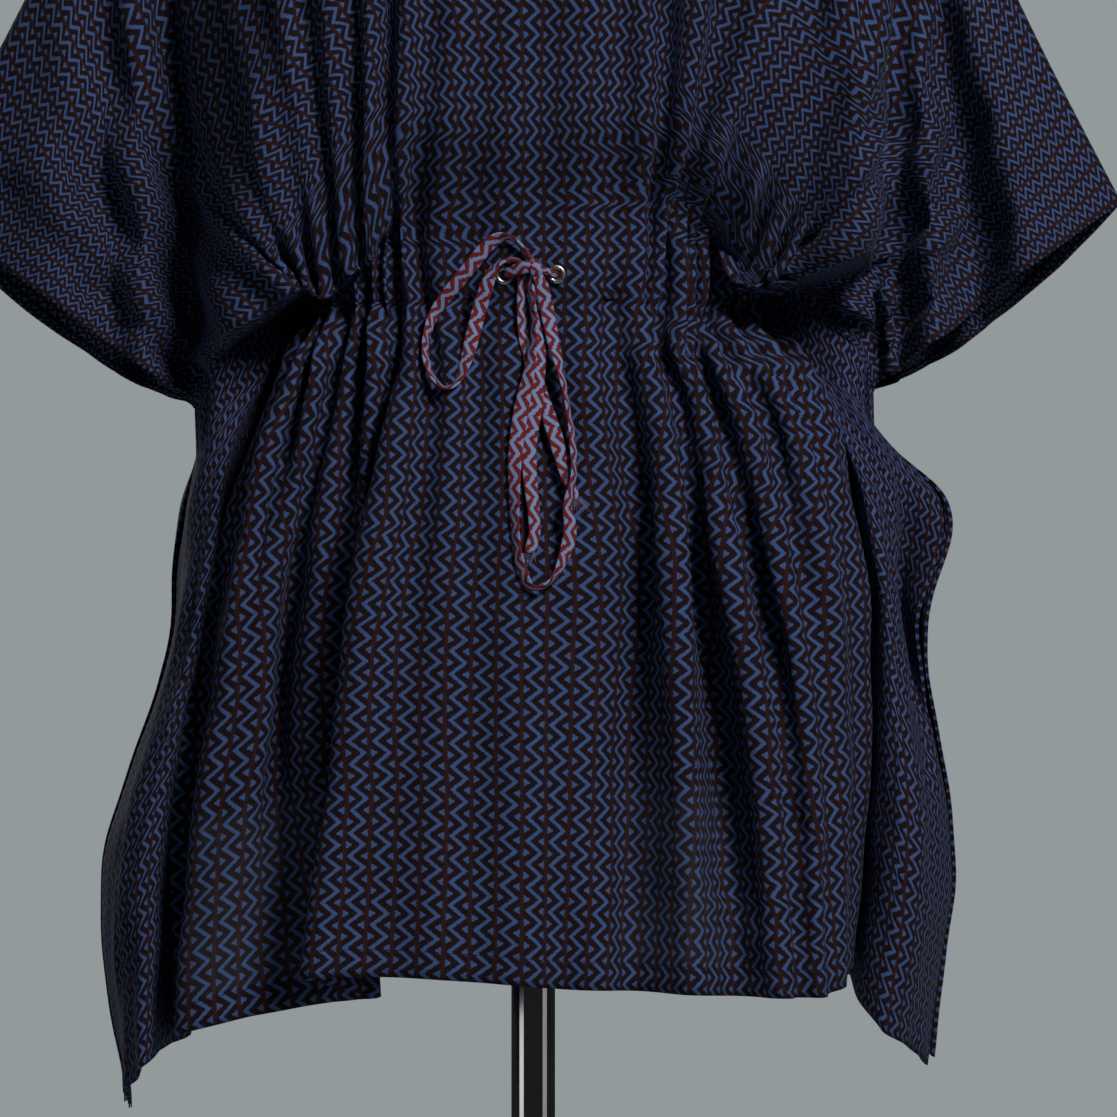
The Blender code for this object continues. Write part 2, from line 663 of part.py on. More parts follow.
def eyelet(name, x, z, face, group, metal):
    half = 0.5 * EYELET_HEIGHT
    middle = 0.5 * (EYELET_RADIUS + EYELET_HOLE_RADIUS)
    across = 0.5 * (EYELET_RADIUS - EYELET_HOLE_RADIUS)
    profile = []
    for step in range(EYELET_PROFILE_SIDES + 1):
        angle = math.pi - 2 * math.pi * step / EYELET_PROFILE_SIDES
        profile.append((middle + across * math.cos(angle), half * math.sin(angle)))
    item = turned(name, profile, group, metal, EYELET_SEGMENTS)
    item.rotation_euler = (math.pi / 2, 0.0, 0.0)
    y = -(face(x / MM, z / MM) * MM + SEAM_GAP + half)
    item.location = (x, y, z)
    return item


def torso(group, skin):
    """The dress form's body: oval sections joined into one closed, smooth solid."""
    mesh = bpy.data.meshes.new("form_torso")
    shape = bmesh.new()
    rings = []
    for z, half_width, half_depth in FORM_SECTIONS:
        ring = []
        for step in range(FORM_SIDES):
            angle = 2 * math.pi * step / FORM_SIDES
            ring.append(shape.verts.new((half_width * math.cos(angle) * MM,
                                         half_depth * math.sin(angle) * MM, z * MM)))
        rings.append(ring)
    for lower, upper in zip(rings, rings[1:]):
        for step in range(FORM_SIDES):
            following = (step + 1) % FORM_SIDES
            shape.faces.new((lower[step], lower[following], upper[following], upper[step]))
    shape.faces.new(rings[0])
    shape.faces.new(rings[-1])
    bmesh.ops.recalc_face_normals(shape, faces=shape.faces)
    shape.to_mesh(mesh)
    shape.free()
    mesh.materials.append(skin)
    mesh.shade_smooth()
    item = bpy.data.objects.new("form_torso", mesh)
    group.objects.link(item)
    return item


def neck_cap(group, skin):
    """A shallow domed disc that closes the neck, on a short turned neck."""
    top = NECK_TOP_Z
    foot = FORM_SECTIONS[-1][0] * MM + SEAM_GAP
    radius = NECK_CAP_RADIUS
    profile = ((0.0, top), (0.6 * radius, top - 0.0015), (0.92 * radius, top - 0.005),
               (radius, top - NECK_CAP_HEIGHT), (0.93 * radius, top - NECK_CAP_HEIGHT - 0.004),
               (0.93 * radius, foot), (0.0, foot))
    return turned("form_neck_cap", profile, group, skin, TURNED_SEGMENTS)


def stand(group, chrome, foot_steel):
    """A round foot, a collar that grips the pole, and the pole up into the form."""
    rim = 0.005
    foot = ((0.0, BASE_THICKNESS), (0.92 * BASE_RADIUS, 0.85 * BASE_THICKNESS),
            (BASE_RADIUS - 0.3 * rim, 0.6 * BASE_THICKNESS), (BASE_RADIUS, 0.35 * BASE_THICKNESS),
            (BASE_RADIUS, 0.0), (0.0, 0.0))
    turned("stand_base", foot, group, foot_steel, BASE_SEGMENTS)
    low = BASE_THICKNESS + SEAM_GAP
    high = low + COLLAR_HEIGHT
    inner = POLE_RADIUS + SEAM_GAP
    collar = ((inner, high), (0.62 * COLLAR_RADIUS, high), (0.7 * COLLAR_RADIUS, high - 0.004),
              (0.7 * COLLAR_RADIUS, low + 0.014), (COLLAR_RADIUS, low + 0.006),
              (COLLAR_RADIUS, low), (inner, low), (inner, high))
    turned("stand_collar", collar, group, chrome, TURNED_SEGMENTS)
    top = FORM_BOTTOM_Z - SEAM_GAP
    pole = ((0.0, top), (POLE_RADIUS, top), (POLE_RADIUS, low), (0.0, low))
    turned("stand_pole", pole, group, chrome, TURNED_SEGMENTS)


def main():
    remove_everything()
    kaftan = collection("short_kaftan_on_dress_form")
    front_cotton = material("printed cotton, front", (0.040, 0.040, 0.110), 0.88)
    back_cotton = material("printed cotton, back", (0.035, 0.036, 0.100), 0.88)
    casing_cotton = material("printed cotton, casing", (0.032, 0.030, 0.085), 0.88)
    tape_cotton = material("red and blue cotton drawstring", (0.330, 0.130, 0.170), 0.85)
    nickel = material("nickel eyelets", (0.620, 0.610, 0.590), 0.25, 1.0)
    form_cover = material("pale jersey over the form", (0.560, 0.540, 0.500), 0.90)
    cap_finish = material("neck cap", (0.480, 0.450, 0.410), 0.55)
    chrome = material("chromed steel", (0.560, 0.555, 0.550), 0.15, 1.0)
    foot_steel = material("brushed steel foot", (0.360, 0.360, 0.365), 0.38, 1.0)

    torso(kaftan, form_cover)
    neck_cap(kaftan, cap_finish)
    stand(kaftan, chrome, foot_steel)
    wall_from_rows("kaftan_front", panel_points(False), kaftan, front_cotton, CLOTH_WALL)
    wall_from_rows("kaftan_back", panel_points(True), kaftan, back_cotton, CLOTH_WALL)
    casing_strip(kaftan, casing_cotton)
    face = front_face()
    for side, (x, z) in zip(("left", "right"), EYELET_PLACES):
        eyelet("eyelet_" + side, x, z, face, kaftan, nickel)
    knot(face, kaftan, tape_cotton)
    runs = {
        "drawstring_loop_left": LOOP_LEFT, "drawstring_loop_right": LOOP_RIGHT,
        "drawstring_tail_left": TAIL_LEFT, "drawstring_tail_right": TAIL_RIGHT,
        "drawstring_stub_left": STUB_LEFT, "drawstring_stub_right": STUB_RIGHT,
    }
    for name, route in runs.items():
        drawstring_run(name, route, face, kaftan, tape_cotton)


main()
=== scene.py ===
"""Short printed-cotton kaftan with a drawn-in waist, on a limbless dress form.

Metres, +Z up, -Y towards the viewer, +X to the viewer's right, floor at Z = 0.
Tables are in millimetres where their heading says so.
"""
import math

import bmesh
import bpy
import numpy as np
from mathutils import Matrix, Vector


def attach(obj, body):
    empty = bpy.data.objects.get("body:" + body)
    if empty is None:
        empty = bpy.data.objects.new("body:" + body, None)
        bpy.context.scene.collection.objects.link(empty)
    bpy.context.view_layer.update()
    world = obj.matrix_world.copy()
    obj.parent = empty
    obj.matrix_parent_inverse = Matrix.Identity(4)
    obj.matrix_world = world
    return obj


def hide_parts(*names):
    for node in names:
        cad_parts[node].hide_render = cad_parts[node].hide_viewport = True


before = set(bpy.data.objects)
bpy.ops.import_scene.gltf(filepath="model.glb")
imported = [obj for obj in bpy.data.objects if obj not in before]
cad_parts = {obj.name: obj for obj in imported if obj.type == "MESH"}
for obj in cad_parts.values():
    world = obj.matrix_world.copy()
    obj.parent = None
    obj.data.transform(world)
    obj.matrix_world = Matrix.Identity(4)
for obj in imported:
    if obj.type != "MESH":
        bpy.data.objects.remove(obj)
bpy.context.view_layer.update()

# ---- Camera ----------------------------------------------------------------------------------
# Level with the skirt, square to the front, from far enough away that folds near the viewer
# look no larger than they are.
VIEW_CENTRE = (0.0148, 0.0, 0.874)
VIEW_WIDTH = 0.648
VIEW_PLANE_Y = -0.06
VIEW_DISTANCE = 7.0

lens = bpy.data.cameras.new("photo camera")
lens.sensor_width = 36.0
lens.lens = lens.sensor_width * (VIEW_DISTANCE + VIEW_PLANE_Y) / VIEW_WIDTH
lens.clip_end = 60.0
camera = bpy.data.objects.new("photo camera", lens)
camera.location = (VIEW_CENTRE[0], VIEW_CENTRE[1] - VIEW_DISTANCE, VIEW_CENTRE[2])
camera.rotation_euler = (math.pi / 2, 0.0, 0.0)
bpy.context.scene.collection.objects.link(camera)
bpy.context.scene.camera = camera


# ---- Drawstring ------------------------------------------------------------------------------
# A bias tube of cotton, pressed flat, with the garment's zigzag in pale blue on brick red. It
# comes out of the two eyelets, is tied in a bow, and its two free ends are cut and left to fray.
MM = 0.001
TAPE_WIDTH = 0.0084
TAPE_THICKNESS = 0.0015
TAPE_SIDES = 14
TAPE_EDGE_ROUNDING = 0.7
TAPE_LEAST_SQUEEZE = 0.6
# distances between rings along the tape, in mm
FREE_TAPE_SPACING = 2.2
SHORT_TAPE_SPACING = 1.0
STUB_PART = 0.8
# columns: x, y, z in mm; turn of the tape in degrees, 0 is flat to the viewer; part of its width
LOOP_LEFT = (
    (-1.2, -104.0, 1043.5, 84, 0.55), (-2.8, -104.4, 1049.5, 86, 0.66),
    (-7.6, -104.8, 1055.5, 84, 0.74), (-13.5, -104.8, 1059.2, 66, 0.85),
    (-20.5, -103.9, 1058.6, 34, 0.95), (-27.5, -102.2, 1052.6, 14, 1.00),
    (-36.0, -100.2, 1042.4, 8, 1.00),
    (-47.0, -96.4, 1029.0, 12, 0.98), (-57.0, -93.7, 1015.0, 35, 0.92),
    (-61.5, -104.5, 1001.0, 58, 0.88), (-61.5, -114.5, 989.0, 62, 0.88),
    (-57.0, -120.9, 977.5, 72, 0.88), (-50.0, -123.3, 972.0, 80, 0.88),
    (-43.5, -122.8, 975.5, 66, 0.90), (-39.0, -119.0, 986.0, 34, 0.95),
    (-35.0, -111.5, 1001.0, 10, 1.00), (-31.0, -104.0, 1017.0, 6, 1.00),
    (-26.8, -104.9, 1030.5, 10, 0.96), (-24.2, -104.9, 1037.5, 26, 0.86),
    (-21.0, -104.7, 1042.8, 62, 0.74), (-15.0, -104.6, 1046.0, 82, 0.66),
    (-9.5, -104.6, 1046.2, 84, 0.62), (-6.0, -104.2, 1044.0, 80, 0.55),
)
LOOP_RIGHT = (
    (2.8, -108.2, 1037.4, 12, 0.72), (5.4, -107.6, 1030.0, 8, 0.95),
    (8.2, -106.9, 1017.0, 10, 1.00), (12.0, -116.0, 998.0, 30, 0.96),
    (16.0, -121.3, 982.0, 58, 0.90), (20.0, -127.3, 962.0, 74, 0.88),
    (23.0, -131.7, 941.0, 62, 0.88), (23.5, -136.1, 922.0, 66, 0.88),
    (20.0, -140.6, 905.0, 50, 0.90), (21.5, -140.7, 893.0, 26, 0.96),
    (20.0, -141.3, 881.0, 22, 0.98), (14.0, -143.8, 866.0, 58, 0.88),
    (7.0, -145.8, 858.5, 74, 0.85), (-0.5, -146.7, 857.5, 62, 0.86),
    (-6.0, -146.4, 867.0, 40, 0.92), (-9.5, -145.0, 884.0, 55, 0.92),
    (-10.5, -141.9, 908.0, 40, 0.95), (-10.0, -137.2, 934.0, 14, 1.00),
    (-7.0, -132.0, 958.0, 8, 1.04), (-2.5, -127.1, 980.0, 32, 0.95),
    (0.5, -119.6, 1000.0, 58, 0.88), (0.5, -112.3, 1015.0, 62, 0.85),
    (-0.5, -107.4, 1026.0, 60, 0.70), (-1.0, -103.6, 1036.5, 40, 0.55),
)
TAIL_LEFT = (
    (-3.4, -101.6, 1037.5, 20, 0.50), (0.5, -103.4, 1019.0, 40, 0.70),
    (3.8, -114.0, 1000.0, 28, 0.90), (3.5, -122.9, 980.0, 18, 0.95),
    (1.0, -128.4, 960.0, 8, 1.05), (-2.0, -132.3, 940.0, 6, 1.08),
    (-1.5, -135.9, 920.0, 16, 1.02), (0.5, -139.2, 902.0, 30, 0.96),
    (1.0, -141.2, 888.0, 24, 0.90), (-2.0, -142.5, 877.0, 12, 0.80),
)
TAIL_RIGHT = (
    (-6.8, -101.3, 1037.5, 20, 0.50), (-6.6, -101.5, 1020.0, 25, 0.68),
    (-5.0, -109.4, 1001.0, 30, 0.85), (0.0, -117.9, 983.0, 24, 0.90),
    (7.0, -124.6, 962.0, 10, 1.00), (13.0, -129.1, 944.0, 8, 1.05),
    (18.0, -132.5, 926.0, 20, 0.95), (24.5, -133.7, 908.0, 25, 0.75),
)
STUB_LEFT = (
    (-16.5, -96.8, 1037.5, 20, 0.55), (-15.6, -99.3, 1037.5, 20, 0.62),
    (-12.8, -100.5, 1038.0, 15, 0.80), (-11.0, -101.0, 1038.6, 15, 0.85),
)
STUB_RIGHT = (
    (13.5, -97.1, 1038.0, 20, 0.55), (12.6, -99.7, 1038.0, 20, 0.62),
    (8.5, -101.0, 1038.5, 15, 0.80), (4.0, -101.5, 1039.2, 15, 0.85),
)


CURVE_STEPS = 12


def along_route(rows, spacing):
    """Evenly spaced rows on a smooth curve through a route's own rows."""
    rows = [np.array(row, float) for row in rows]
    padded = [2 * rows[0] - rows[1]] + rows + [2 * rows[-1] - rows[-2]]
    dense = []
    for before, start, end, after in zip(padded, padded[1:], padded[2:], padded[3:]):
        for step in range(CURVE_STEPS):
            t = step / CURVE_STEPS
            dense.append(0.5 * (2 * start + (end - before) * t
                                + (2 * before - 5 * start + 4 * end - after) * t**2
                                + (3 * start - before - 3 * end + after) * t**3))
    dense.append(rows[-1])
    dense = np.array(dense)
    steps = np.linalg.norm(np.diff(dense[:, :3], axis=0), axis=1)
    lengths = np.concatenate(([0.0], np.cumsum(steps)))
    count = max(4, int(round(lengths[-1] / spacing)) + 1)
    at = np.linspace(0.0, lengths[-1], count)
    return np.stack([np.interp(at, lengths, dense[:, i]) for i in range(rows[0].size)], axis=1)


def piece_of(name, shape, *finishes):
    """Makes a piece of a finished shape and its finishes."""
    mesh = bpy.data.meshes.new(name)
    shape.to_mesh(mesh)
    shape.free()
    for finish in finishes:
        mesh.materials.append(finish)
    piece = bpy.data.objects.new(name, mesh)
    bpy.context.scene.collection.objects.link(piece)
    return piece


def joined(shape, previous, ring):
    """Joins a ring of a tube to the one before it; the first ring closes the tube's start."""
    if not previous:
        shape.faces.new(ring[::-1])
        return ring
    for step in range(len(ring)):
        following = (step + 1) % len(ring)
        shape.faces.new((previous[step], previous[following], ring[following], ring[step]))
    return ring


def flat_tube(shape, places, rows, width, thickness):
    """Sweeps a flattened oval along the rows; places keeps each point's spot on the cloth."""
    points = rows[:, :3] * MM
    turns = np.radians(rows[:, 3])
    tangents = np.gradient(points, axis=0)
    tangents /= np.linalg.norm(tangents, axis=1)[:, None]
    lengths = np.concatenate(([0.0], np.cumsum(np.linalg.norm(np.diff(points, axis=0), axis=1))))
    previous = []
    for point, tangent, turn, part, length in zip(points, tangents, turns, rows[:, 4], lengths):
        flat = np.cross(tangent, (0.0, 1.0, 0.0))
        flat /= np.linalg.norm(flat)
        outward = np.cross(flat, tangent)
        wide = math.cos(turn) * flat + math.sin(turn) * outward
        thin = np.cross(wide, tangent)
        ring = []
        for step in range(TAPE_SIDES):
            angle = 2 * math.pi * step / TAPE_SIDES
            side = 0.5 * width * part * math.cos(angle)
            lift = math.copysign(abs(math.sin(angle)) ** TAPE_EDGE_ROUNDING, math.sin(angle))
            lift *= 0.5 * thickness / max(part, TAPE_LEAST_SQUEEZE)
            spot = shape.verts.new(tuple(point + wide * side + thin * lift))
            places[spot] = (side / part, length)
            ring.append(spot)
        previous = joined(shape, previous, ring)
    shape.faces.new(previous)


def finish_tape(name, shape, places, finish):
    """Turns a swept shape into a piece with its places on the cloth as a UV map."""
    bmesh.ops.recalc_face_normals(shape, faces=shape.faces)
    cloth = shape.loops.layers.uv.new("cloth")
    for face in shape.faces:
        face.smooth = True
        for corner in face.loops:
            corner[cloth].uv = places[corner.vert]
    piece = piece_of(name, shape, finish)
    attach(piece, "root")
    return piece


class Value:
    """What one socket of a material gives; sums on it add Math nodes."""

    def __init__(self, tree, socket):
        self.tree = tree
        self.socket = socket

    def make(self, kind, settings, sockets, output=0):
        node = self.tree.nodes.new(kind)
        for name, setting in settings.items():
            setattr(node, name, setting)
        for name, given in sockets.items():
            if isinstance(given, Value):
                self.tree.links.new(given.socket, node.inputs[name])
            else:
                node.inputs[name].default_value = given
        return Value(self.tree, node.outputs[output])

    def math(self, operation, *others, clamp=False):
        given = dict(enumerate((self, *others)))
        return self.make("ShaderNodeMath", {"operation": operation, "use_clamp": clamp}, given)

    def __add__(self, other):
        return self.math("ADD", other)

    __radd__ = __add__

    def __sub__(self, other):
        return self.math("SUBTRACT", other)

    def __rsub__(self, other):
        return self.make("ShaderNodeMath", {"operation": "SUBTRACT"}, {0: other, 1: self})

    def __mul__(self, other):
        return self.math("MULTIPLY", other)

    __rmul__ = __mul__

    def __truediv__(self, other):
        return self.math("DIVIDE", other)

    def __abs__(self):
        return self.math("ABSOLUTE")

    def fract(self):
        return self.math("FRACT")

    def from_0_to_1(self):
        return self.math("ADD", 0.0, clamp=True)

    def both(self, other):
        return self.math("MINIMUM", other)

    def either(self, other):
        return self.math("MAXIMUM", other)

    def inside(self, half_width, soft):
        """1 where the value is nearer to 0 than half_width, with a soft edge."""
        return ((half_width - abs(self)) / soft + 0.5).from_0_to_1()

    def blend(self, off, on):
        """The colour off where the value is 0, on where it is 1."""
        return self.make("ShaderNodeMix", {"data_type": "RGBA"}, {0: self, 6: off, 7: on}, 2)


def new_finish(name):
    """A material, its shader node, and its tree's first value, the places on the cloth."""
    finish = bpy.data.materials.new(name)
    finish.use_nodes = True
    tree = finish.node_tree
    shader = tree.nodes["Principled BSDF"]
    place = Value(tree, None).make("ShaderNodeTexCoord", {}, {}, "Object")
    return finish, shader, place


def feed(shader, **given):
    """Gives the shader's sockets their values; spaces in a socket's name are underscores."""
    for name, value in given.items():
        socket = shader.inputs[name.replace("_", " ")]
        if isinstance(value, Value):
            value.tree.links.new(value.socket, socket)
        else:
            socket.default_value = value


def cloth_place(place):
    """Across and down the flat cloth, in metres."""
    spot = place.make("ShaderNodeUVMap", {"uv_map": "cloth"}, {})
    across = place.make("ShaderNodeSeparateXYZ", {}, {0: spot}, 0)
    down = place.make("ShaderNodeSeparateXYZ", {}, {0: spot}, 1)
    return spot, across, down


TAPE_PALE = (0.25, 0.32, 0.54, 1.0)
TAPE_RED = (0.20, 0.020, 0.018, 1.0)
TAPE_OUTLINE = (0.085, 0.022, 0.050, 1.0)
TAPE_WEAVE = 14500.0
PRINT_COLUMN = 0.0128
PRINT_PERIOD = 0.0136
# shares of a column's width, and of a period for the wedge's height
ZIGZAG_HALF_WIDTH = 0.108
TAPE_ZIGZAG_SWING = 0.19
TAPE_OUTLINE_HALF_WIDTH = 0.150
TAPE_WEDGE_FOOT = 0.40
TAPE_WEDGE_WIDTH = 0.30
TAPE_WEDGE_HALF_HEIGHT = 0.26
TAPE_PRINT_SHIFT = 0.04
tape_cotton, shader, place = new_finish("brick red and pale blue cotton")
spot, across, along = cloth_place(place)
wander = place.make("ShaderNodeTexNoise", {"noise_dimensions": "2D"},
                    {"Vector": spot, "Scale": 520.0, "Detail": 1.0}) - 0.5
column = across / PRINT_COLUMN + wander * 0.12 - TAPE_PRINT_SHIFT
phase = (along / PRINT_PERIOD + wander * 0.10).fract()
swing = abs(phase * 2.0 - 1.0) * 2.0 - 1.0
from_line = column - swing * TAPE_ZIGZAG_SWING
at_right = abs((phase + 0.5).fract() - 0.5) / TAPE_WEDGE_HALF_HEIGHT
at_left = abs(phase - 0.5) / TAPE_WEDGE_HALF_HEIGHT
wedge_left = (1.0 - (column + TAPE_WEDGE_FOOT) / TAPE_WEDGE_WIDTH - at_right) / 0.2
wedge_right = (1.0 - (TAPE_WEDGE_FOOT - column) / TAPE_WEDGE_WIDTH - at_left) / 0.2
wedges = wedge_left.either(wedge_right).from_0_to_1()
pale = from_line.inside(ZIGZAG_HALF_WIDTH, 0.04).either(wedges)
outline = from_line.inside(TAPE_OUTLINE_HALF_WIDTH, 0.04).either((wedges * 4.0).both(1.0)) - pale
inked = pale.blend(outline.blend(TAPE_RED, TAPE_OUTLINE), TAPE_PALE)
thread = ((across * TAPE_WEAVE).math("SINE") + (along * TAPE_WEAVE).math("SINE")) * 0.5
feed(shader,
     Base_Color=inked,
     Roughness=0.86,
     Specular_IOR_Level=0.15,
     Normal=place.make("ShaderNodeBump", {}, {"Strength": 0.35, "Distance": 0.0002,
                                              "Height": thread + wander * 3.0}))

free_lengths = {}
for name, table, far_end in (
        ("drawstring_loop_left", LOOP_LEFT, "object"),
        ("drawstring_loop_right", LOOP_RIGHT, "object"),
        ("drawstring_tail_left", TAIL_LEFT, "bare"),
        ("drawstring_tail_right", TAIL_RIGHT, "bare")):
    rows = along_route(table, FREE_TAPE_SPACING)
    shape = bmesh.new()
    places = {}
    flat_tube(shape, places, rows, TAPE_WIDTH, TAPE_THICKNESS)
    piece = finish_tape("tape_" + name, shape, places, tape_cotton)
    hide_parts(name)
    free_lengths[name] = (piece, rows[:, :3] * MM, far_end)

for name, table in (("drawstring_stub_left", STUB_LEFT), ("drawstring_stub_right", STUB_RIGHT)):
    shape = bmesh.new()
    places = {}
    rows = along_route(table, SHORT_TAPE_SPACING)
    flat_tube(shape, places, rows, TAPE_WIDTH * STUB_PART, TAPE_THICKNESS)
    finish_tape("tape_" + name, shape, places, tape_cotton)
    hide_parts(name)

# ---- Knot and frayed ends --------------------------------------------------------------------
# The bow's knot is the same flat tube: one puffed turn across, held by a tighter wrap. Threads
# of the weave have worked loose at the two cut ends.
KNOT_TURN = (
    (-15.2, -100.4, 1039.2, 20, 0.66), (-11.0, -104.0, 1040.0, 14, 0.84),
    (-6.5, -107.2, 1041.4, 4, 0.88), (-2.0, -108.6, 1042.2, -6, 0.80),
    (2.0, -108.2, 1041.8, -12, 0.66), (6.0, -105.4, 1040.2, -16, 0.56),
    (10.0, -101.2, 1038.8, -20, 0.50),
)
KNOT_WRAP_CENTRE = (1.2, -105.0, 1040.8)
KNOT_WRAP_RADII = (5.8, 4.9)
KNOT_WRAP_TILT = math.radians(24)
KNOT_WRAP_STEPS = 12
KNOT_WRAP_SPACING = 0.9
KNOT_WRAP_DRIFT = 1.6
KNOT_WRAP_PART = 0.78
KNOT_WRAP_THICKNESS = 1.2
KNOT_TURN_THICKNESS = 1.6
KNOT_PRINT_Z = 1.026
FRAY_THREADS = 9
FRAY_THREAD_SIDES = 4
FRAY_THREAD_STEPS = 5
FRAY_THREAD_RADIUS = 0.00016
# columns: end of the tape in mm; the way the threads fall; how far they spread, in mm
FRAY_ENDS = (((-2.0, -142.5, 877.0), (-0.2, -0.05, -1.0), 5.5),
             ((24.5, -133.7, 908.0), (0.5, -0.03, -1.0), 3.5))

shape = bmesh.new()
places = {}
flat_tube(shape, places, along_route(KNOT_TURN, SHORT_TAPE_SPACING), TAPE_WIDTH,
          TAPE_THICKNESS * KNOT_TURN_THICKNESS)
wrap = []
for step in range(KNOT_WRAP_STEPS + 1):
    part = step / KNOT_WRAP_STEPS
    angle = 2 * math.pi * part + 0.5 * math.pi
    lift = KNOT_WRAP_RADII[1] * math.sin(angle)
    drift = KNOT_WRAP_DRIFT * (part - 0.5)
    wrap.append((KNOT_WRAP_CENTRE[0] - lift * math.sin(KNOT_WRAP_TILT) + drift,
                 KNOT_WRAP_CENTRE[1] - KNOT_WRAP_RADII[0] * math.cos(angle),
                 KNOT_WRAP_CENTRE[2] + lift * math.cos(KNOT_WRAP_TILT)))
points = along_route(wrap, KNOT_WRAP_SPACING) * MM
wide = np.array((math.cos(KNOT_WRAP_TILT), 0.0, math.sin(KNOT_WRAP_TILT)))
previous = []
for point, tangent in zip(points, np.gradient(points, axis=0)):
    thin = np.cross(wide, tangent / np.linalg.norm(tangent))
    ring = []
    for step in range(TAPE_SIDES):
        angle = 2 * math.pi * step / TAPE_SIDES
        side = 0.5 * KNOT_WRAP_PART * TAPE_WIDTH * math.cos(angle)
        lift = 0.5 * KNOT_WRAP_THICKNESS * TAPE_THICKNESS * math.sin(angle)
        made = shape.verts.new(tuple(point + wide * side + thin * lift))
        places[made] = (side, float(point[2]) - KNOT_PRINT_Z if previous else 0.0)
        ring.append(made)
    previous = joined(shape, previous, ring)
shape.faces.new(previous)
tape_knot = finish_tape("tape_drawstring_knot", shape, places, tape_cotton)
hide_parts("drawstring_knot")

thread_cotton, shader, place = new_finish("loose drawstring threads")
tint = place.make("ShaderNodeTexNoise", {}, {"Vector": place, "Scale": 900.0})
feed(shader, Base_Color=tint.blend((0.45, 0.50, 0.66, 1.0), (0.30, 0.10, 0.10, 1.0)), Roughness=0.9)
shape = bmesh.new()
for (x, y, z), fall, spread in FRAY_ENDS:
    for thread in range(FRAY_THREADS):
        lean = thread / (FRAY_THREADS - 1) - 0.5
        length = 4.0 + 4.5 * abs(math.sin(3.7 * thread + spread))
        start = np.array((x + spread * lean, y + 0.2 * math.sin(5.1 * thread), z + 0.8)) * MM
        drift = np.array((fall[0] + 0.9 * lean, fall[1] - 0.12 * math.sin(2.3 * thread), fall[2]))
        previous = []
        for step in range(FRAY_THREAD_STEPS + 1):
            t = step / FRAY_THREAD_STEPS
            sway = np.array((0.5 * math.sin(4.0 * t + thread), 0.0, 0.0)) * t * MM
            middle = start + drift * length * t * MM + sway
            radius = FRAY_THREAD_RADIUS * (1.0 - 0.6 * t)
            ring = []
            for side in range(FRAY_THREAD_SIDES):
                angle = 2 * math.pi * side / FRAY_THREAD_SIDES
                ring.append(shape.verts.new((middle[0] + radius * math.cos(angle),
                                             middle[1] + radius * math.sin(angle),
                                             middle[2])))
            previous = joined(shape, previous, ring)
        shape.faces.new(previous)
bmesh.ops.recalc_face_normals(shape, faces=shape.faces)
frayed = piece_of("frayed_threads", shape, thread_cotton)
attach(frayed, "root")

for name, (piece, route, far_end) in free_lengths.items():
    length = float(np.linalg.norm(np.diff(route, axis=0), axis=1).sum())


# ---- Floor and studio light ------------------------------------------------------------------
# A pale floor wide enough for every view and grey air behind the object. A large soft lamp
# stands high in front and another behind, with a weak strip at each side.
FLOOR_RADIUS = 1.7
AIR_COLOUR = (0.290, 0.322, 0.327, 1.0)
AIR_LIGHT = (0.016, 0.018, 0.020, 1.0)
# columns: name, place, aim, width, height, watts
LAMPS = (
    ("high front lamp", (1.45, -2.7, 3.0), (-0.1, 0.0, 0.98), 0.9, 0.9, 82.0),
    ("left strip lamp", (-3.0, -1.6, 1.1), (0.0, 0.0, 0.9), 0.5, 2.2, 4.0),
    ("right strip lamp", (3.0, -1.2, 1.1), (0.0, 0.0, 0.9), 0.5, 2.2, 2.5),
    ("back lamp", (-1.5, 3.2, 2.6), (0.0, 0.0, 1.0), 2.0, 2.0, 60.0),
)

shape = bmesh.new()
bmesh.ops.create_circle(shape, cap_ends=True, segments=96, radius=FLOOR_RADIUS)
floor_paint, shader, place = new_finish("pale floor")
mottle = place.make("ShaderNodeTexNoise", {}, {"Vector": place, "Scale": 2.0, "Detail": 4.0})
feed(shader, Base_Color=mottle.blend((0.50, 0.52, 0.52, 1.0), (0.54, 0.56, 0.56, 1.0)),
     Roughness=0.7)
piece_of("floor", shape, floor_paint)

air = bpy.data.worlds.new("grey studio air")
air.use_nodes = True
seen = Value(air.node_tree, None).make("ShaderNodeLightPath", {}, {}, "Is Camera Ray")
feed(air.node_tree.nodes["Background"], Color=seen.blend(AIR_LIGHT, AIR_COLOUR))
bpy.context.scene.world = air
bpy.context.scene.view_settings.view_transform = "Standard"

for name, lamp_place, aim, width, height, watts in LAMPS:
    lamp = bpy.data.lights.new(name, "AREA")
    lamp.shape = "RECTANGLE"
    lamp.size = width
    lamp.size_y = height
    lamp.energy = watts
    holder = bpy.data.objects.new(name, lamp)
    holder.location = lamp_place
    towards = Vector(aim) - Vector(lamp_place)
    holder.rotation_euler = towards.to_track_quat("-Z", "Y").to_euler()
    bpy.context.scene.collection.objects.link(holder)


# ---- Dress form and stand --------------------------------------------------------------------
# A padded body covered in pale jersey with a turned neck cap, on a chromed steel pole that a
# collar fixes to a brushed steel foot.
def repaint(node, finish):
    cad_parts[node].data.materials.clear()
    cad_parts[node].data.materials.append(finish)


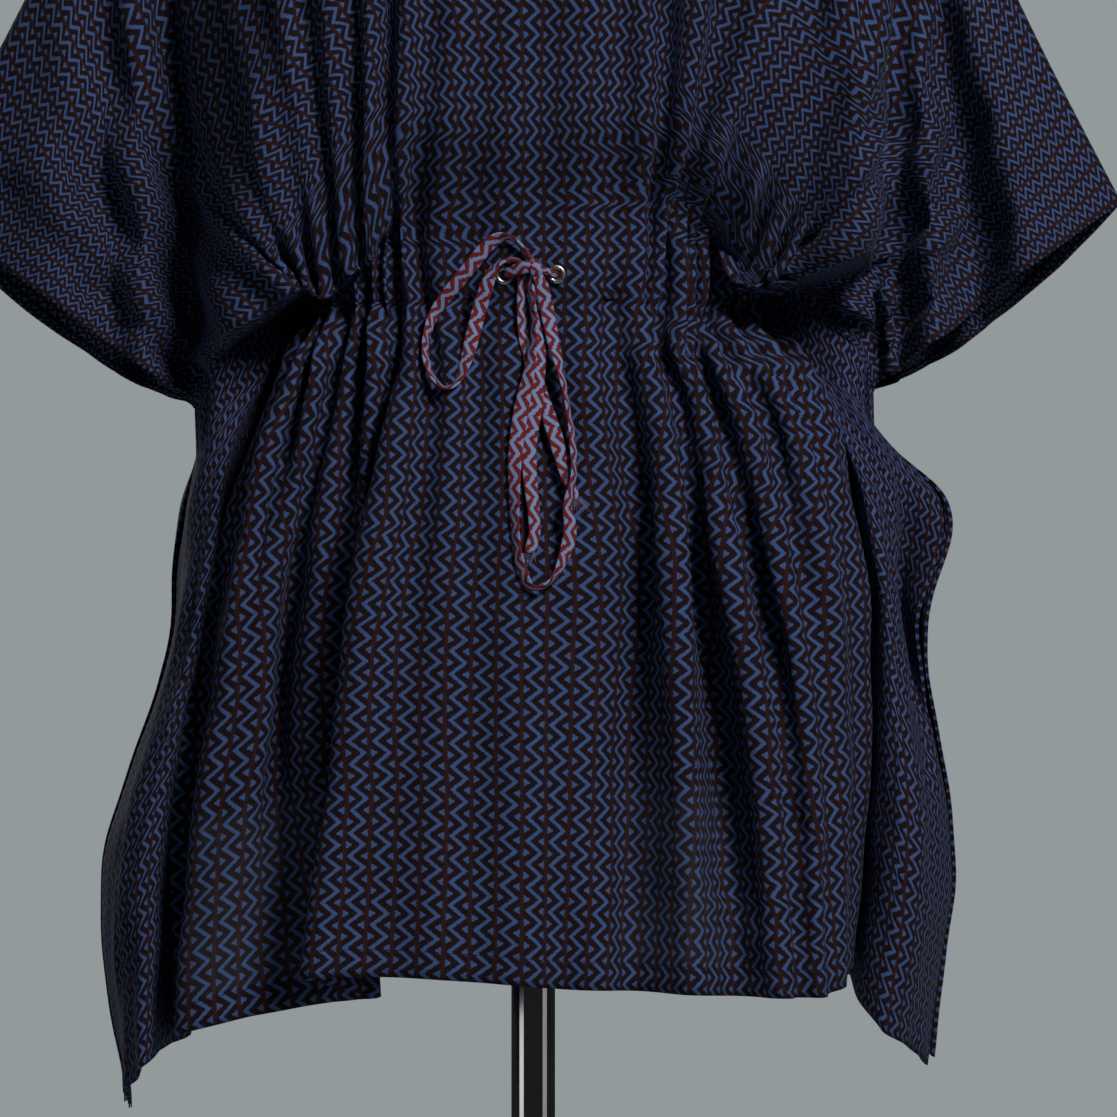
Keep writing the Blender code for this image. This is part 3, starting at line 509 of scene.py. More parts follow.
jersey, shader, place = new_finish("pale jersey")
knit = place.make("ShaderNodeTexWave", {"bands_direction": "Z"},
                  {"Vector": place, "Scale": 260.0, "Distortion": 0.8})
cloudy = place.make("ShaderNodeTexNoise", {}, {"Vector": place, "Scale": 14.0, "Detail": 3.0})
feed(shader,
     Base_Color=cloudy.blend((0.52, 0.50, 0.46, 1.0), (0.60, 0.58, 0.54, 1.0)),
     Roughness=0.92,
     Sheen_Weight=0.15,
     Normal=place.make("ShaderNodeBump", {}, {"Strength": 0.2, "Distance": 0.0004, "Height": knit}))
repaint("form_torso", jersey)

cap_finish, shader, place = new_finish("varnished neck cap")
grain = place.make("ShaderNodeTexWave", {"bands_direction": "X"},
                   {"Vector": place, "Scale": 60.0, "Distortion": 6.0, "Detail": 3.0})
feed(shader, Base_Color=grain.blend((0.30, 0.19, 0.11, 1.0), (0.40, 0.27, 0.16, 1.0)),
     Roughness=0.42, Coat_Weight=0.3)
repaint("form_neck_cap", cap_finish)

chrome, shader, place = new_finish("chromed steel")
haze = place.make("ShaderNodeTexNoise", {}, {"Vector": place, "Scale": 30.0, "Detail": 4.0})
feed(shader, Base_Color=(0.56, 0.53, 0.52, 1.0), Metallic=1.0, Roughness=haze * 0.10 + 0.08)
repaint("stand_pole", chrome)
repaint("stand_collar", chrome)

brushed, shader, place = new_finish("brushed steel foot")
beside = place.make("ShaderNodeSeparateXYZ", {}, {0: place}, 0)
behind = place.make("ShaderNodeSeparateXYZ", {}, {0: place}, 1)
radius = (beside * beside + behind * behind).math("SQRT")
rings = place.make("ShaderNodeTexNoise", {"noise_dimensions": "1D"},
                   {"W": radius * 900.0, "Scale": 1.0, "Detail": 3.0})
feed(shader, Base_Color=(0.40, 0.40, 0.41, 1.0), Metallic=1.0, Roughness=rings * 0.2 + 0.26,
     Normal=place.make("ShaderNodeBump", {}, {"Strength": 0.15, "Distance": 0.0002,
                                              "Height": rings}))
repaint("stand_base", brushed)


# ---- Front panel -----------------------------------------------------------------------------
# One rectangle of printed cotton, 1.12 m by 0.84 m, with the neckline cut out: sleeve, body and
# side flap in one. It hangs from the shoulders, is drawn in at the waist and falls in folds.
PANEL_HALF_WIDTH = 0.56
PANEL_LENGTH = 0.84
SIDE_HEM = 0.010
LOW_HEM = 0.016
STITCH_ACROSS = 0.36
CASING_TOP_DOWN = 0.405
CASING_BOTTOM_DOWN = 0.437
CASING_TOP_Z = 1055.0
CASING_BOTTOM_Z = 1024.0
NECK_HALF_WIDTH = 0.095
NECK_DEPTH_FRONT = 0.13
NECK_DEPTH_BACK = 0.035
CLOTH_THICKNESS = 0.0009
PANEL_GAP = 0.00075
SHOULDER_OVERLAP = 0.00015
FOLD_REACH = 0.010
FOLD_MEAN_REACH = 0.030
CASING_STAND_OFF = 2.6
CASING_PUFF = 1.5
WAIST_HALF_WIDTH = 121.5
WAIST_HALF_DEPTH = 95.5
FLAT_FRONT_ACROSS = 0.07
GATHERS_PER_QUARTER = 10
CHEST_DOWN = 0.24
BACK_DOWN = 0.20
# columns: across; x and z on the shoulder line; x and z of the bend; x, y, z at the waist
GRAIN_RIGHT = (
    (0, 0, 1465, 0, 1258, 0, -95, 1055),
    (70, 72, 1459.5, 70, 1252, 68, -80, 1055),
    (140, 140, 1442.5, 120, 1200, 92, -62, 1052),
    (180, 180, 1425, 150, 1165, 102, -50, 1050),
    (230, 203, 1383, 180, 1120, 112, -36, 1046),
    (290, 227, 1324, 205, 1085, 119, -20, 1041),
    (360, 255, 1261, 222, 1070, 124, 0, 1036),
    (460, 298, 1171, 240, 1062, 184, -8, 1002),
    (560, 344, 1082, 272, 1034, 199, -6, 972),
)
GRAIN_LEFT = (
    (0, 0, 1465, 0, 1258, 0, -95, 1055),
    (70, -72, 1459.5, -70, 1252, -68, -80, 1055),
    (140, -140, 1442.5, -112, 1190, -92, -62, 1052),
    (180, -180, 1425, -135, 1140, -102, -50, 1050),
    (230, -204, 1379, -165, 1080, -112, -36, 1046),
    (290, -232, 1327, -200, 1040, -119, -20, 1041),
    (360, -266, 1263, -215, 1035, -124, 0, 1036),
    (460, -312, 1172, -240, 1040, -180, -36, 990),
    (560, -362, 1082, -275, 1020, -196, -4, 962),
)
# columns: x at three heights; distance from the middle plane at the three heights
FOLD_HEIGHTS = (1040.0, 1111.0, 1198.0)
BODY_RIGHT = (
    (0, 0, 0, 98, 119, 133),
    (75, 85, 95, 80, 112, 130),
    (105, 115, 120, 70, 106, 124),
    (150, 160, 160, 84, 108, 118),
    (200, 204, 208, 80, 92, 100),
    (209, 213, 216, 12, 14, 14),
    (234, 230, 223, 46, 48, 42),
    (248, 240, 231, 10, 10, 12),
    (268, 258, 239, 4, 4, 8),
    (281, 270, 248, 40, 48, 50),
    (305, 296, 268, 42, 54, 56),
    (335, 326, 290, 22, 34, 38),
    (380, 380, 340, 0, 0, 0),
)
BODY_LEFT = (
    (0, 0, 0, 98, 119, 133),
    (-75, -85, -80, 84, 114, 128),
    (-130, -125, -110, 88, 110, 122),
    (-164, -160, -142, 92, 106, 108),
    (-188, -186, -186, 55, 60, 62),
    (-197, -206, -216, 4, 6, 8),
    (-226, -230, -234, 44, 48, 46),
    (-243, -247, -251, 26, 26, 24),
    (-275, -276, -272, 46, 54, 52),
    (-320, -318, -300, 26, 34, 36),
    (-380, -380, -360, 0, 0, 0),
)
# Where the valleys between the folds run on the flat cloth: across, at each level down it.
FOLD_LEVELS = (0.10, 0.25, 0.33, 0.405, 0.437, 0.50, 0.60, 0.84)
FOLDS_FRONT = (
    (-0.620, -0.620, -0.620, -0.620, -0.620, -0.620, -0.620, -0.620),
    (-0.525, -0.520, -0.520, -0.510, -0.520, -0.530, -0.530, -0.530),
    (-0.450, -0.440, -0.440, -0.440, -0.450, -0.460, -0.470, -0.470),
    (-0.370, -0.370, -0.385, -0.390, -0.395, -0.400, -0.400, -0.400),
    (-0.300, -0.312, -0.322, -0.330, -0.332, -0.335, -0.342, -0.350),
    (-0.245, -0.262, -0.276, -0.288, -0.290, -0.300, -0.305, -0.325),
    (-0.200, -0.218, -0.230, -0.246, -0.248, -0.250, -0.262, -0.285),
    (-0.160, -0.176, -0.186, -0.200, -0.205, -0.208, -0.215, -0.240),
    (-0.118, -0.129, -0.142, -0.156, -0.160, -0.166, -0.180, -0.196),
    (-0.084, -0.090, -0.097, -0.106, -0.108, -0.125, -0.138, -0.150),
    (-0.054, -0.056, -0.062, -0.074, -0.074, -0.070, -0.070, -0.072),
    (-0.026, -0.026, -0.030, -0.034, -0.036, -0.038, -0.036, -0.034),
    (0.004, 0.004, 0.004, 0.006, 0.006, 0.010, 0.012, 0.014),
    (0.048, 0.048, 0.049, 0.046, 0.048, 0.064, 0.068, 0.070),
    (0.082, 0.078, 0.080, 0.076, 0.084, 0.122, 0.130, 0.130),
    (0.145, 0.138, 0.122, 0.112, 0.125, 0.165, 0.190, 0.186),
    (0.205, 0.195, 0.172, 0.158, 0.170, 0.212, 0.235, 0.240),
    (0.262, 0.250, 0.225, 0.208, 0.222, 0.260, 0.283, 0.290),
    (0.318, 0.306, 0.282, 0.264, 0.278, 0.310, 0.328, 0.335),
    (0.372, 0.362, 0.342, 0.328, 0.338, 0.360, 0.372, 0.378),
    (0.440, 0.430, 0.420, 0.410, 0.415, 0.425, 0.435, 0.440),
    (0.510, 0.505, 0.500, 0.500, 0.500, 0.505, 0.510, 0.510),
    (0.620, 0.620, 0.620, 0.620, 0.620, 0.620, 0.620, 0.620),
)
FOLDS_BACK = tuple(tuple(-place for place in row) for row in reversed(FOLDS_FRONT))
# columns: across, hem z, then x and out at each level down the cloth
SKIRT_LEVELS = (0.475, 0.56, 0.70, 0.84)
SKIRT_FRONT = (
    (-560, 553, -203, -4, -213, 0, -251, 5, -236, 10),
    (-505, 564, -198, 30, -206, 42, -240, 50, -236, 46),
    (-440, 580, -180, 44, -192, 62, -220, 66, -226, 78),
    (-400, 590, -166, 22, -182, 34, -207, 40, -214, 50),
    (-360, 596, -146, 0, -168, 4, -203, 6, -201, 12),
    (-335, 597, -149, 32, -184, 40, -210, 46, -207, 55),
    (-315, 597, -145, 46, -177, 50, -196, 50, -200, 60),
    (-285, 598, -138, 68, -164, 88, -189, 92, -209, 98),
    (-245, 608, -127, 78, -147, 94, -160, 90, -170, 98),
    (-215, 614, -118, 70, -133, 76, -145, 70, -140, 92),
    (-185, 618, -106, 88, -116, 106, -130, 100, -115, 94),
    (-150, 621, -88, 84, -92, 92, -98, 88, -98, 100),
    (-108, 633, -80, 106, -89, 124, -104, 128, -121, 140),
    (-72, 634, -60, 110, -66, 130, -74, 140, -80, 149),
    (-30, 631, -28, 112, -28, 133, -30, 143, -30, 151),
    (20, 627, 20, 111, 20, 132, 20, 141, 20, 150),
    (64, 626, 53, 101, 60, 112, 56, 118, 57, 139),
    (102, 624, 76, 111, 80, 130, 88, 142, 92, 152),
    (132, 623, 88, 94, 92, 104, 108, 114, 118, 139),
    (160, 622, 102, 104, 108, 124, 130, 135, 143, 147),
    (186, 622, 112, 90, 124, 104, 144, 124, 156, 136),
    (215, 622, 128, 92, 140, 119, 158, 128, 166, 132),
    (260, 626, 146, 72, 166, 106, 176, 106, 176, 112),
    (310, 635, 156, 38, 186, 62, 193, 66, 184, 66),
    (360, 643, 158, 4, 184, 6, 187, 8, 180, 14),
    (400, 620, 175, 14, 199, 54, 200, 60, 189, 58),
    (445, 602, 197, 22, 211, 42, 212, 84, 201, 82),
    (505, 588, 214, 18, 214, -8, 232, 58, 222, 48),
    (560, 578, 236, 6, 225, 12, 243, 8, 229, 10),
)


def through(keys, values, at):
    """Smooth curve through the values at rising keys, along the last axis."""
    keys = np.asarray(keys, float)
    values = np.asarray(values, float)
    at = np.asarray(at, float)
    shape = np.broadcast_shapes(keys.shape, values.shape, at.shape + (1,))
    keys = np.broadcast_to(keys, shape)
    values = np.broadcast_to(values, shape)
    at = np.clip(np.broadcast_to(at, shape[:-1]), keys[..., 0], keys[..., -1])
    slope = np.diff(values) / np.diff(keys)
    tangent = np.concatenate(
        (slope[..., :1], 0.5 * (slope[..., :-1] + slope[..., 1:]), slope[..., -1:]), axis=-1)
    span = np.clip((keys <= at[..., None]).sum(-1) - 1, 0, shape[-1] - 2)[..., None]

    def take(array, shift=0):
        return np.take_along_axis(array, span + shift, -1)[..., 0]

    width = take(keys, 1) - take(keys)
    t = (at - take(keys)) / width
    return ((2 * t**3 - 3 * t**2 + 1) * take(values) + (3 * t**2 - 2 * t**3) * take(values, 1)
            + (t**3 - 2 * t**2 + t) * width * take(tangent)
            + (t**3 - t**2) * width * take(tangent, 1))


def ease(value, start, span):
    """0 up to start, 1 from start + span on, and a smooth rise between.

    Places across and down the cloth are in m, and x and z are in mm."""
    t = np.clip((value - start) / span, 0.0, 1.0)
    return t * t * (3 - 2 * t)


def columns(table):
    return np.array(table, float).T


def waist_ring(across):
    """Place on the drawn-in waist for cloth distances across."""
    angle = np.linspace(0.0, math.pi / 2, 181)
    x = WAIST_HALF_WIDTH * np.sin(angle)
    out = WAIST_HALF_DEPTH * np.cos(angle)
    arc = np.concatenate(([0.0], np.cumsum(np.hypot(np.diff(x), np.diff(out)))))
    along = np.interp(np.abs(across), (0.0, FLAT_FRONT_ACROSS, STITCH_ACROSS),
                      (0.0, FLAT_FRONT_ACROSS / MM, arc[-1]))
    turn = np.interp(along, arc, angle)
    return np.sign(across) * WAIST_HALF_WIDTH * np.sin(turn), WAIST_HALF_DEPTH * np.cos(turn)


BENDS = np.linspace(0.0, 1.8, 73)
bend_turns = np.linspace(0.0, 2 * math.pi, 96, endpoint=False)
SHRINK, SWING, SLIP, CREST = (
    np.cos(order * bend_turns - BENDS[:, None] * np.sin(bend_turns)).mean(axis=1)
    for order in range(4))


def meander(phase, wave, bend):
    """A curve that winds like a river: how far along and how far out it is from its mean line.

    The cloth keeps its length on it; phase 0 is the bottom of a valley."""
    part = wave / (2 * math.pi)
    along = part * np.interp(bend, BENDS, SLIP) * np.sin(2 * phase)
    out = -part * (2 * np.interp(bend, BENDS, SWING) * np.cos(phase)
                   + np.interp(bend, BENDS, CREST) * np.cos(3 * phase) / 1.5)
    return along, out


def gather_phase(across):
    pitch = (STITCH_ACROSS - FLAT_FRONT_ACROSS) / GATHERS_PER_QUARTER
    place = (np.abs(across) - FLAT_FRONT_ACROSS) / pitch
    hand = np.where(across > 0, 0.0, 1.9)
    bent = place + 0.13 * np.sin(2.3 * place + hand) + 0.07 * np.sin(4.7 * place + 2.0 + hand)
    return 2 * math.pi * bent, place


def fold_phase(across, down, folds):
    places = through(FOLD_LEVELS, columns(folds).T, down[:, None])
    return 2 * math.pi * through(places, np.arange(float(len(folds))), across)


# depth and half width in mm (a ridge where the depth is below 0), then places on the cloth
CREASES = (
    (3.6, 6.0, (0.203, 0.449), (0.212, 0.468), (0.245, 0.480), (0.285, 0.492), (0.300, 0.520)),
    (3.6, 5.0, (0.250, 0.452), (0.256, 0.466), (0.275, 0.478), (0.310, 0.486)),
    (3.0, 5.0, (0.315, 0.447), (0.312, 0.460), (0.322, 0.475), (0.335, 0.500)),
    (-2.4, 5.0, (0.101, 0.773), (0.131, 0.797), (0.160, 0.811), (0.208, 0.821)),
    (2.2, 5.0, (0.175, 0.795), (0.211, 0.776), (0.248, 0.760)),
    (2.8, 5.0, (0.184, 0.349), (0.200, 0.345), (0.240, 0.335)),
    (2.2, 7.0, (0.203, 0.544), (0.219, 0.589), (0.224, 0.624), (0.221, 0.669)),
    (2.0, 6.0, (0.165, 0.715), (0.205, 0.747), (0.216, 0.757)),
    (2.6, 6.0, (0.430, 0.500), (0.470, 0.560), (0.500, 0.620)),
    (2.4, 6.0, (0.525, 0.650), (0.475, 0.700), (0.440, 0.760)),
    (2.0, 8.0, (0.520, 0.070), (0.470, 0.160), (0.440, 0.250)),
    (2.2, 6.0, (0.540, 0.180), (0.490, 0.230), (0.455, 0.300)),
    (2.4, 6.0, (-0.309, 0.549), (-0.275, 0.571), (-0.251, 0.600)),
    (2.0, 6.0, (-0.280, 0.624), (-0.285, 0.651), (-0.283, 0.680)),
    (2.6, 6.0, (-0.469, 0.552), (-0.445, 0.616), (-0.440, 0.690), (-0.460, 0.740)),
    (2.2, 6.0, (-0.535, 0.640), (-0.505, 0.710), (-0.500, 0.780)),
    (2.0, 8.0, (-0.530, 0.050), (-0.480, 0.140), (-0.450, 0.220)),
    (2.2, 6.0, (-0.545, 0.190), (-0.500, 0.250), (-0.450, 0.290)),
    (-1.8, 5.0, (-0.225, 0.200), (-0.250, 0.260), (-0.262, 0.310)),
)


def creased(across, down):
    """How far the placed creases push the cloth out."""
    here = np.stack((across, down), axis=1)
    out = np.zeros(across.size)
    for depth, width, *points in CREASES:
        points = np.array(points)
        nearest = np.full(across.size, 1.0)
        ends = np.zeros(across.size)
        total = len(points) - 1
        for order, (start, end) in enumerate(zip(points, points[1:])):
            run = end - start
            t = np.clip((here - start) @ run / (run @ run), 0.0, 1.0)
            distance = np.linalg.norm(here - start - t[:, None] * run, axis=1)
            ends = np.where(distance < nearest, (order + t) / total, ends)
            nearest = np.minimum(nearest, distance)
        fade = 0.35 + 0.65 * np.sin(math.pi * np.clip(ends, 0.03, 0.97))
        out = out - depth * fade * np.exp(-(nearest / MM / width) ** 2)
    return out


def tunnel(down):
    """The casing stands out a little between its two rows of stitching."""
    middle = np.clip((down - CASING_TOP_DOWN) / (CASING_BOTTOM_DOWN - CASING_TOP_DOWN), 0, 1)
    return CASING_PUFF * np.sin(math.pi * middle) ** 0.7


def slow_ripple(across, down):
    """Low, uneven softness of worn cotton."""
    return (0.9 * np.sin(61 * across + 23 * down + 1.0) * np.sin(19 * across - 47 * down + 0.3)
            + 0.6 * np.sin(113 * across - 31 * down + 2.0) * np.sin(41 * across + 79 * down))


# The row of BODY_RIGHT where the body's cloth turns back under itself to the sleeve, and how
# far and how broadly it turns under, in mm.
BODY_FOLD_ROW = 4
BODY_FOLD_UNDER = 10
BODY_FOLD_BREADTH = 5
# The right side of the blouse ends in a rim over a hollow: the rim's x and z, its rise, and how
# deep the cloth is tucked in under it.
HOLLOW_RIM = (108.0, 1024.0, 0.30)
HOLLOW_DEPTH = 85
# The blouse begins to draw in at this level, and sags most at the next one.
DRAW_IN_DOWN = 0.330
SAG_DOWN = 0.370
SAG_REACH = 0.030
# The back panel's sleeves bow this much lower, and its body is this share as deep as the front
# and stands off this far, in mm.
BACK_SLEEVE_BOW = 34
BACK_DEPTH_SHARE = 0.92
BACK_STAND_OFF = 2.5


def hang_bodice(across, down, is_back):
    """Cloth above the waist: x, out and z in mm."""
    right = across >= 0
    aside = np.abs(across)
    grain_right = columns(GRAIN_RIGHT)
    grain_left = columns(GRAIN_LEFT)
    top_x, top_z, bow_x, bow_z, end_x, end_y, end_z = (
        np.where(right, through(grain_right[0], one, aside / MM),
                 through(grain_left[0], other, aside / MM))
        for one, other in zip(grain_right[1:], grain_left[1:]))
    if is_back:
        bow_z = bow_z - BACK_SLEEVE_BOW * ease(aside, STITCH_ACROSS, 0.1)
    t = down / CASING_TOP_DOWN
    x = (1 - t) ** 2 * top_x + 2 * t * (1 - t) * bow_x + t * t * end_x
    z = (1 - t) ** 2 * top_z + 2 * t * (1 - t) * bow_z + t * t * end_z
    begin = DRAW_IN_DOWN + np.where(right, 0.038 * ease(aside, 0.19, 0.05),
                                    0.025 * ease(aside, 0.075, 0.06))
    near = ease(down, begin, CASING_TOP_DOWN - begin)
    sag_left = 40 - 26 * ease(aside, 0.21, 0.09)
    sag_left = sag_left * ease(aside, 0.075, 0.06) * (1 - ease(aside, 0.40, 0.1))
    sag_right = 30 - 80 * (aside - 0.2)
    sag_right = sag_right * ease(aside, 0.155, 0.05) * (1 - ease(aside, 0.32, 0.05))
    sag = np.where(right, sag_right, sag_left)
    z = z - (1 - near) * sag * np.exp(-((down - SAG_DOWN) / SAG_REACH) ** 2)

    held = np.clip(z, FOLD_HEIGHTS[0], FOLD_HEIGHTS[-1])
    outs = []
    for table, hand in ((BODY_RIGHT, 1.0), (BODY_LEFT, -1.0)):
        body = columns(table)
        places = hand * through(FOLD_HEIGHTS, body[:3].T, held[:, None])
        depths = through(FOLD_HEIGHTS, body[3:].T, held[:, None])
        outs.append(sum(through(places, depths, hand * x + shift) for shift in (-4, 0, 4)) / 3)
    out = np.where(right, outs[0], outs[1])
    if not is_back:
        edge = through(FOLD_HEIGHTS, columns(BODY_RIGHT)[:3, BODY_FOLD_ROW], held)
        turned = np.exp(-((x - edge - 7) / BODY_FOLD_BREADTH) ** 2)
        x = x - BODY_FOLD_UNDER * turned * ease(z, 1030, 25) * (1 - ease(z, 1230, 40))
    round_down, fullness = (BACK_DOWN, 0.65) if is_back else (CHEST_DOWN, 0.75)
    out = out * np.sin(0.5 * math.pi * np.clip(down / round_down, 0, 1)) ** fullness
    if is_back:
        out = BACK_DEPTH_SHARE * out + BACK_STAND_OFF
    ring_x, ring_out = waist_ring(across)
    drawn = aside <= STITCH_ACROSS
    x = x + near * (np.where(drawn, ring_x, end_x) - x)
    out = out + near * (np.where(drawn, ring_out, -end_y) - out)
    z = z + near * np.where(drawn, CASING_TOP_Z - end_z, 0.0)
    if not is_back:
        rim = HOLLOW_RIM[1] + HOLLOW_RIM[2] * (x - HOLLOW_RIM[0])
        tucked = HOLLOW_DEPTH * ease(rim - z, 0, 9) * ease(x, 122, 16) * (1 - ease(x, 198, 12))
        out = np.maximum(out - tucked, np.minimum(out, 4.0))
    return x, out, z


def hang_skirt(across, down, table):
    """Cloth from the casing down: x, out and z in mm."""
    folds = columns(table)
    keys = folds[0]
    ring_x, ring_out = waist_ring(keys * MM)
    grain_right = columns(GRAIN_RIGHT)
    grain_left = columns(GRAIN_LEFT)
    roots = [np.where(keys > 0, through(grain_right[0], one, np.abs(keys)),
                      through(grain_left[0], other, np.abs(keys)))
             for one, other in zip(grain_right[5:], grain_left[5:])]
    drawn = np.abs(keys) <= STITCH_ACROSS / MM
    start_x = np.where(drawn, ring_x, roots[0])
    start_out = np.where(drawn, ring_out, -roots[1])
    start_z = np.where(drawn, CASING_BOTTOM_Z, roots[2] - 28)
    levels = (CASING_BOTTOM_DOWN,) + SKIRT_LEVELS
    xs = np.stack((start_x, *folds[2::2]), axis=1)
    outs = np.stack((start_out, *folds[3::2]), axis=1)
    part = (down - levels[0]) / (levels[-1] - levels[0])
    at_x = through(levels, xs, down[:, None])
    at_out = through(levels, outs, down[:, None])
    at_z = start_z + (folds[1] - start_z) * part[:, None]
    place = across / MM
    x = through(keys, at_x, place)
    out = through(keys, at_out, place)
    z = through(keys, at_z, place)
    ring_x, ring_out = waist_ring(across)
    free = np.where(np.abs(across) <= STITCH_ACROSS, ease(down, CASING_BOTTOM_DOWN, 0.03), 1.0)
    return ring_x + free * (x - ring_x), ring_out + free * (out - ring_out), z


def hang_smooth(across, down, is_back, skirt):
    """The cloth's main form without its folds: x, out and z in mm."""
    place = np.zeros((across.size, 3))
    part = (down - CASING_TOP_DOWN) / (CASING_BOTTOM_DOWN - CASING_TOP_DOWN)
    part = np.clip(part, 0.0, 1.0)
    above = part < 1
    bodice = hang_bodice(across[above], np.minimum(down[above], CASING_TOP_DOWN), is_back)
    place[above] += (1 - part[above])[:, None] * np.stack(bodice, axis=1)
    below = part > 0
    low_across = across[below]
    low_down = np.maximum(down[below], CASING_BOTTOM_DOWN)
    room = 0.8 * np.maximum(STITCH_ACROSS - np.abs(low_across), 0.0)
    mean_reach = FOLD_MEAN_REACH * (1 - 0.85 * ease(low_down, 0.47, 0.17))
    for way in (-1.0, 0.0, 1.0):
        shifted = low_across + way * np.minimum(mean_reach, room)
        skirt_place = np.stack(hang_skirt(shifted, low_down, skirt), axis=1)
        place[below] += part[below][:, None] * skirt_place / 3
    return place


# How far the folds bend, from 0 for flat cloth: the least, with what is added beside the middle,
# and the most on the blouse, the skirt, the sleeves and the flaps.
LEAST_BEND = 0.35
LEAST_BEND_BESIDE = 0.55
MOST_BEND_BLOUSE = 1.45
MOST_BEND_SKIRT = 1.55
MOST_BEND_SLEEVE = 0.30
MOST_BEND_FLAP = 0.12


def hang(across, down, is_back, folds, skirt):
    """Where points of a panel hang, in metres; both arrays are flat and alike in size.

    Where the main form is narrower than the cloth on it, the rest of the cloth goes into folds."""
    aside = np.abs(across)
    place = hang_smooth(across, down, is_back, skirt)
    before = np.clip(across - FOLD_REACH, -PANEL_HALF_WIDTH, PANEL_HALF_WIDTH)
    after = np.clip(across + FOLD_REACH, -PANEL_HALF_WIDTH, PANEL_HALF_WIDTH)
    chord = (hang_smooth(after, down, is_back, skirt)
             - hang_smooth(before, down, is_back, skirt))
    cloth = (after - before) / MM
    ratio = np.clip(np.linalg.norm(chord, axis=1) / cloth, 0.3, 1.0)
    along = chord / np.linalg.norm(chord, axis=1)[:, None]
    level = np.hypot(along[:, 0], along[:, 1])
    outward = np.stack((-along[:, 1], along[:, 0], np.zeros(across.size)), axis=1)
    outward /= np.maximum(level, 0.2)[:, None]

    phase = fold_phase(across, down, folds)
    rate = (fold_phase(after, down, folds) - fold_phase(before, down, folds)) / cloth
    fine_phase, gather = gather_phase(across)
    fine_rate = np.abs(gather_phase(after)[0] - gather_phase(before)[0]) / cloth
    drawn = ease(aside, FLAT_FRONT_ACROSS, 0.012) * (1 - ease(aside, STITCH_ACROSS - 0.012, 0.012))
    away = np.maximum(CASING_TOP_DOWN - down, down - CASING_BOTTOM_DOWN)
    reach = 0.050 + 0.018 * np.sin(2.9 * gather + 0.7 + np.sign(across))
    share = drawn * (1 - ease(away, 0.0, reach))
    outside = aside > STITCH_ACROSS
    above = down < CASING_TOP_DOWN
    smooth_side = np.where(across > 0, ease(across, 0.13, 0.05), ease(-across, 0.175, 0.03))
    smooth_side = smooth_side * (1 - ease(down, 0.30, 0.05))
    broad_face = ease(aside, 0.16, 0.04) * ease(down + 0.04 * np.sin(23 * across), 0.52, 0.12)
    most_skirt = (MOST_BEND_SKIRT - 0.45 * ease(down, 0.52, 0.30)) * (1 - 0.72 * broad_face)
    most = np.where(above, MOST_BEND_BLOUSE - 1.2 * smooth_side, most_skirt)
    most = np.where(outside, np.where(above, MOST_BEND_SLEEVE, MOST_BEND_FLAP), most)
    beside = ease(aside, 0.035, 0.03) * (1 - ease(aside, 0.16, 0.06)) * (1 - ease(down, 0.42, 0.12))
    least = LEAST_BEND + LEAST_BEND_BESIDE * beside
    fine_bend = np.interp(-ratio**share, -SHRINK, BENDS)
    broad_bend = np.interp(-ratio ** (1 - share), -SHRINK, BENDS)
    broad_bend = np.minimum(np.maximum(broad_bend, least * (1 - share)), most)
    broad_bend = broad_bend * ease(down, 0.0, 0.13)
    slip, swell = meander(phase, 2 * math.pi / rate, broad_bend)
    fine_slip, fine_swell = meander(fine_phase, 2 * math.pi / np.maximum(fine_rate, 0.05),
                                    fine_bend)
    fine_swell = fine_swell * drawn + CASING_STAND_OFF * share
    seam = np.where(down > 0.37, 1 - np.exp(-((aside - STITCH_ACROSS) / 0.010) ** 2), 1.0)
    edge = np.clip((PANEL_HALF_WIDTH - aside) / 0.05, 0.35, 1.0)
    swell = (swell * edge + fine_swell) * seam
    swell = np.where(outside, np.maximum(swell, -0.4 * np.abs(place[:, 1])), swell)
    soft = slow_ripple(across, down) * (1 - share) + creased(-across if is_back else across, down)
    swell = swell + tunnel(down) * (1 - outside) + soft * seam
    slip = (slip + fine_slip * drawn) * seam
    place = place + along * slip[:, None] + outward * swell[:, None]
    gap = PANEL_GAP * ease(down, 0.0, 0.006) - SHOULDER_OVERLAP
    y = place[:, 1] * MM + gap
    return np.stack((place[:, 0] * MM, y if is_back else -y, place[:, 2] * MM), axis=1)


def neck_start(across, depth):
    part = np.clip(np.abs(across) / NECK_HALF_WIDTH, 0.0, 1.0)
    return depth * np.sqrt(1 - part**2)


def steps(*spans):
    """Stations along one direction: each span is its start, its end and its number of steps."""
    runs = [np.linspace(start, end, count, endpoint=False) for start, end, count in spans]
    return np.concatenate((*runs, [spans[-1][1]]))


half = steps((0.0, FLAT_FRONT_ACROSS, 15), (FLAT_FRONT_ACROSS, STITCH_ACROSS, 100),
             (STITCH_ACROSS, PANEL_HALF_WIDTH, 42))
ACROSS_STATIONS = np.concatenate((-half[:0:-1], half))
DOWN_STATIONS = steps((0.0, 0.05, 9), (0.05, 0.335, 38), (0.335, CASING_TOP_DOWN, 22),
                      (CASING_TOP_DOWN, CASING_BOTTOM_DOWN, 10), (CASING_BOTTOM_DOWN, 0.52, 24),
                      (0.52, PANEL_LENGTH, 42))


